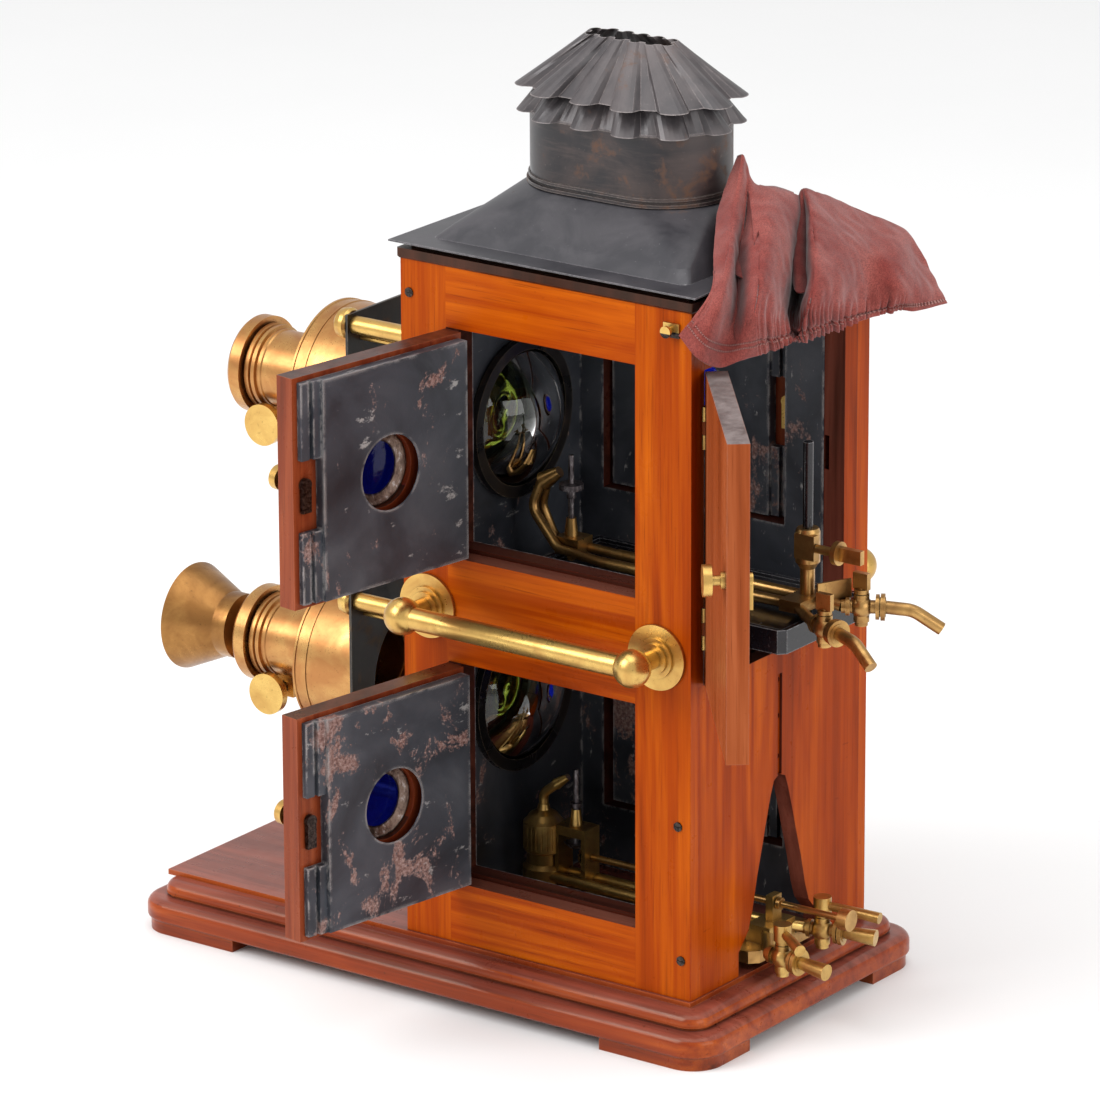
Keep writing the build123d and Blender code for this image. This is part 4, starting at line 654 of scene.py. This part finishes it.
def cloth(name, base, light, dark):
    g = Graph(name)
    fold = g.noise(g.scaled(28, 28, 28), 1.0, 4.0, 0.6, 0.4)
    thread = g.noise(g.scaled(1700, 1700, 500), 1.0, 2.0, 0.6)
    cross = g.noise(g.scaled(500, 1700, 1700, shift=(3, 1, 2)), 1.0, 2.0, 0.6)
    weave = g.mix(0.5, thread, cross)
    colour = g.mix(g.ramp(fold, (0.35, 0.0), (0.70, 1.0)), base, light)
    colour = g.mix(g.ramp(weave, (0.42, 0.5), (0.56, 0.0)), colour, dark)
    # Painted shade: the cloth is darkened in its creases and hollows.
    colour = g.mix(g.ramp(g.hollows(0.022), (0.15, 0.85), (0.75, 0.0)), colour, dark)
    g.set(Base_Color=colour, Roughness=g.ramp(weave, (0.3, 0.95), (0.7, 0.82)),
          Sheen_Weight=0.25, Sheen_Roughness=0.5, Specular_IOR_Level=0.15)
    g.bump(weave, 0.35, 0.0005)
    return g.mat


M_CLOTH = cloth("maroon_cloth", lin(128, 52, 46), lin(158, 84, 76), lin(54, 16, 18))
M_THREAD = cloth("sewing_thread", lin(150, 96, 90), lin(180, 130, 120), lin(80, 40, 40))
curtain, stitch_points = build_curtain(M_CLOTH)
stitching = build_stitching(stitch_points, M_THREAD)
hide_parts("curtain")

# ---- glasses ---------------------------------------------------------------------------
LENS_RADIUS = 0.0494
RIM_Y = -0.102
BULGE = 0.026


def lens_profile():
    """Closed outline of a plano-convex glass."""
    steps = 28
    points = [(0.0002, 0.0), (LENS_RADIUS, 0.0), (LENS_RADIUS, 0.0028)]
    for k in range(1, steps + 1):
        r = LENS_RADIUS * (1 - k / steps)
        points.append((max(r, 0.0002), 0.0028 + (BULGE - 0.0028) * (1 - (r / LENS_RADIUS) ** 2)))
    return points


def flat_profile(radius, thick):
    return [(0.0002, 0.0), (radius - 0.0005, 0.0), (radius, 0.0005), (radius, thick - 0.0005),
            (radius - 0.0005, thick), (0.0002, thick)]


# Its yellow-green tint stands in for the lit brass seen through the condenser: painted light.
M_REAR_GLASS = glass("rear_condenser_glass", lin(190, 200, 90))
condensers = []
for level, z in LENS_Z.items():
    verts, faces = lathe(lens_profile(), (0, RIM_Y, z), (0, 1, 0), 128)
    front = add_mesh(f"{level}_condenser_bulge", verts, faces, M_CONDENSER)
    verts, faces = lathe(flat_profile(0.0508, 0.0118), (0, -0.1249, z), (0, 1, 0), 128)
    back = add_mesh(f"{level}_condenser_back", verts, faces, M_REAR_GLASS)
    condensers += [front, back]
for piece in condensers:
    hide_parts("condenser_glasses")

# ---- sight-glass rings --------------------------------------------------------------------
DOOR_MID = {"upper": BASE_TOP + 0.37215, "lower": BASE_TOP + 0.128}
M_RING = steel("sight_ring", lin(124, 104, 92), lin(70, 54, 48), rough=0.3)


def on_door(side, point):
    """Where a point of a shut near door is on that side's door."""
    p = Vector(point)
    if side == "left":
        return Vector((-p.x, p.y, p.z))
    return Matrix.Rotation(DOOR_SWING, 4, "Z") @ (p - HINGE) + HINGE


for side in ("right", "left"):
    for level, z in DOOR_MID.items():
        centre = on_door(side, (0.1030, -0.008, z))
        inward = on_door(side, (0.0930, -0.008, z)) - centre
        ring = [(0.0190, -0.0002), (0.0268, -0.0002), (0.0268, -0.0040), (0.0250, -0.0046),
                (0.0232, -0.0020), (0.0204, -0.0012)]
        ring = [(r, -d) for r, d in ring]
        verts, faces = lathe(ring, centre, inward)
        piece = add_mesh(f"{side}_{level}_sight_ring", verts, faces, M_RING,
                         body=f"{side}_{level}_door")

# ---- camera, lights, floor ------------------------------------------------------
CAMERA_AT = Vector((4.0703, 2.8798, 1.9373))
CAMERA_RIGHT = Vector((-0.58645, 0.80998, -0.00405))
CAMERA_UP = Vector((-0.25219, -0.17784, 0.95120))
CAMERA_BACK = Vector((0.76973, 0.55885, 0.30856))
camera_data = bpy.data.cameras.new("camera")
camera_data.sensor_width = 36.0
camera_data.lens = 242.53
camera_data.clip_end = 100.0
camera = bpy.data.objects.new("camera", camera_data)
bpy.context.scene.collection.objects.link(camera)
turn = Matrix((CAMERA_RIGHT, CAMERA_UP, CAMERA_BACK)).transposed().to_4x4()
camera.matrix_world = Matrix.Translation(CAMERA_AT) @ turn
bpy.context.scene.camera = camera


def softbox(name, at, aim, size, power, colour=(1, 1, 1)):
    data = bpy.data.lights.new(name, "AREA")
    data.shape = "RECTANGLE"
    data.size, data.size_y = size
    data.energy = power
    data.color = colour
    light = bpy.data.objects.new(name, data)
    light.location = at
    light.rotation_euler = (Vector(at) - Vector(aim)).to_track_quat("Z", "Y").to_euler()
    bpy.context.scene.collection.objects.link(light)


CENTRE = (0.0, -0.05, 0.35)
softbox("key", (2.6, -1.6, 2.6), CENTRE, (2.2, 2.2), 90)
softbox("fill", (0.6, 3.4, 1.5), CENTRE, (2.4, 2.0), 36)
softbox("top", (0.2, 0.2, 3.4), CENTRE, (3.0, 3.0), 45)
world = bpy.data.worlds.new("studio")
world.use_nodes = True
world.node_tree.nodes["Background"].inputs[0].default_value = (1, 1, 1, 1)
world.node_tree.nodes["Background"].inputs[1].default_value = 0.75
bpy.context.scene.world = world
bpy.context.scene.view_settings.view_transform = "Standard"


def floor():
    g = Graph("pale_floor")
    soft = g.noise(g.scaled(3, 3, 3), 1.0, 3.0, 0.5)
    g.set(Base_Color=g.mix(soft, (0.90, 0.90, 0.90, 1), (0.94, 0.94, 0.94, 1)), Roughness=0.7)
    mesh = bpy.data.meshes.new("floor")
    half = 14.0
    corners = [(-half, -half, 0), (half, -half, 0), (half, half, 0), (-half, half, 0)]
    mesh.from_pydata(corners, [], [(0, 1, 2, 3)])
    obj = bpy.data.objects.new("floor", mesh)
    mesh.materials.append(g.mat)
    bpy.context.scene.collection.objects.link(obj)


floor()
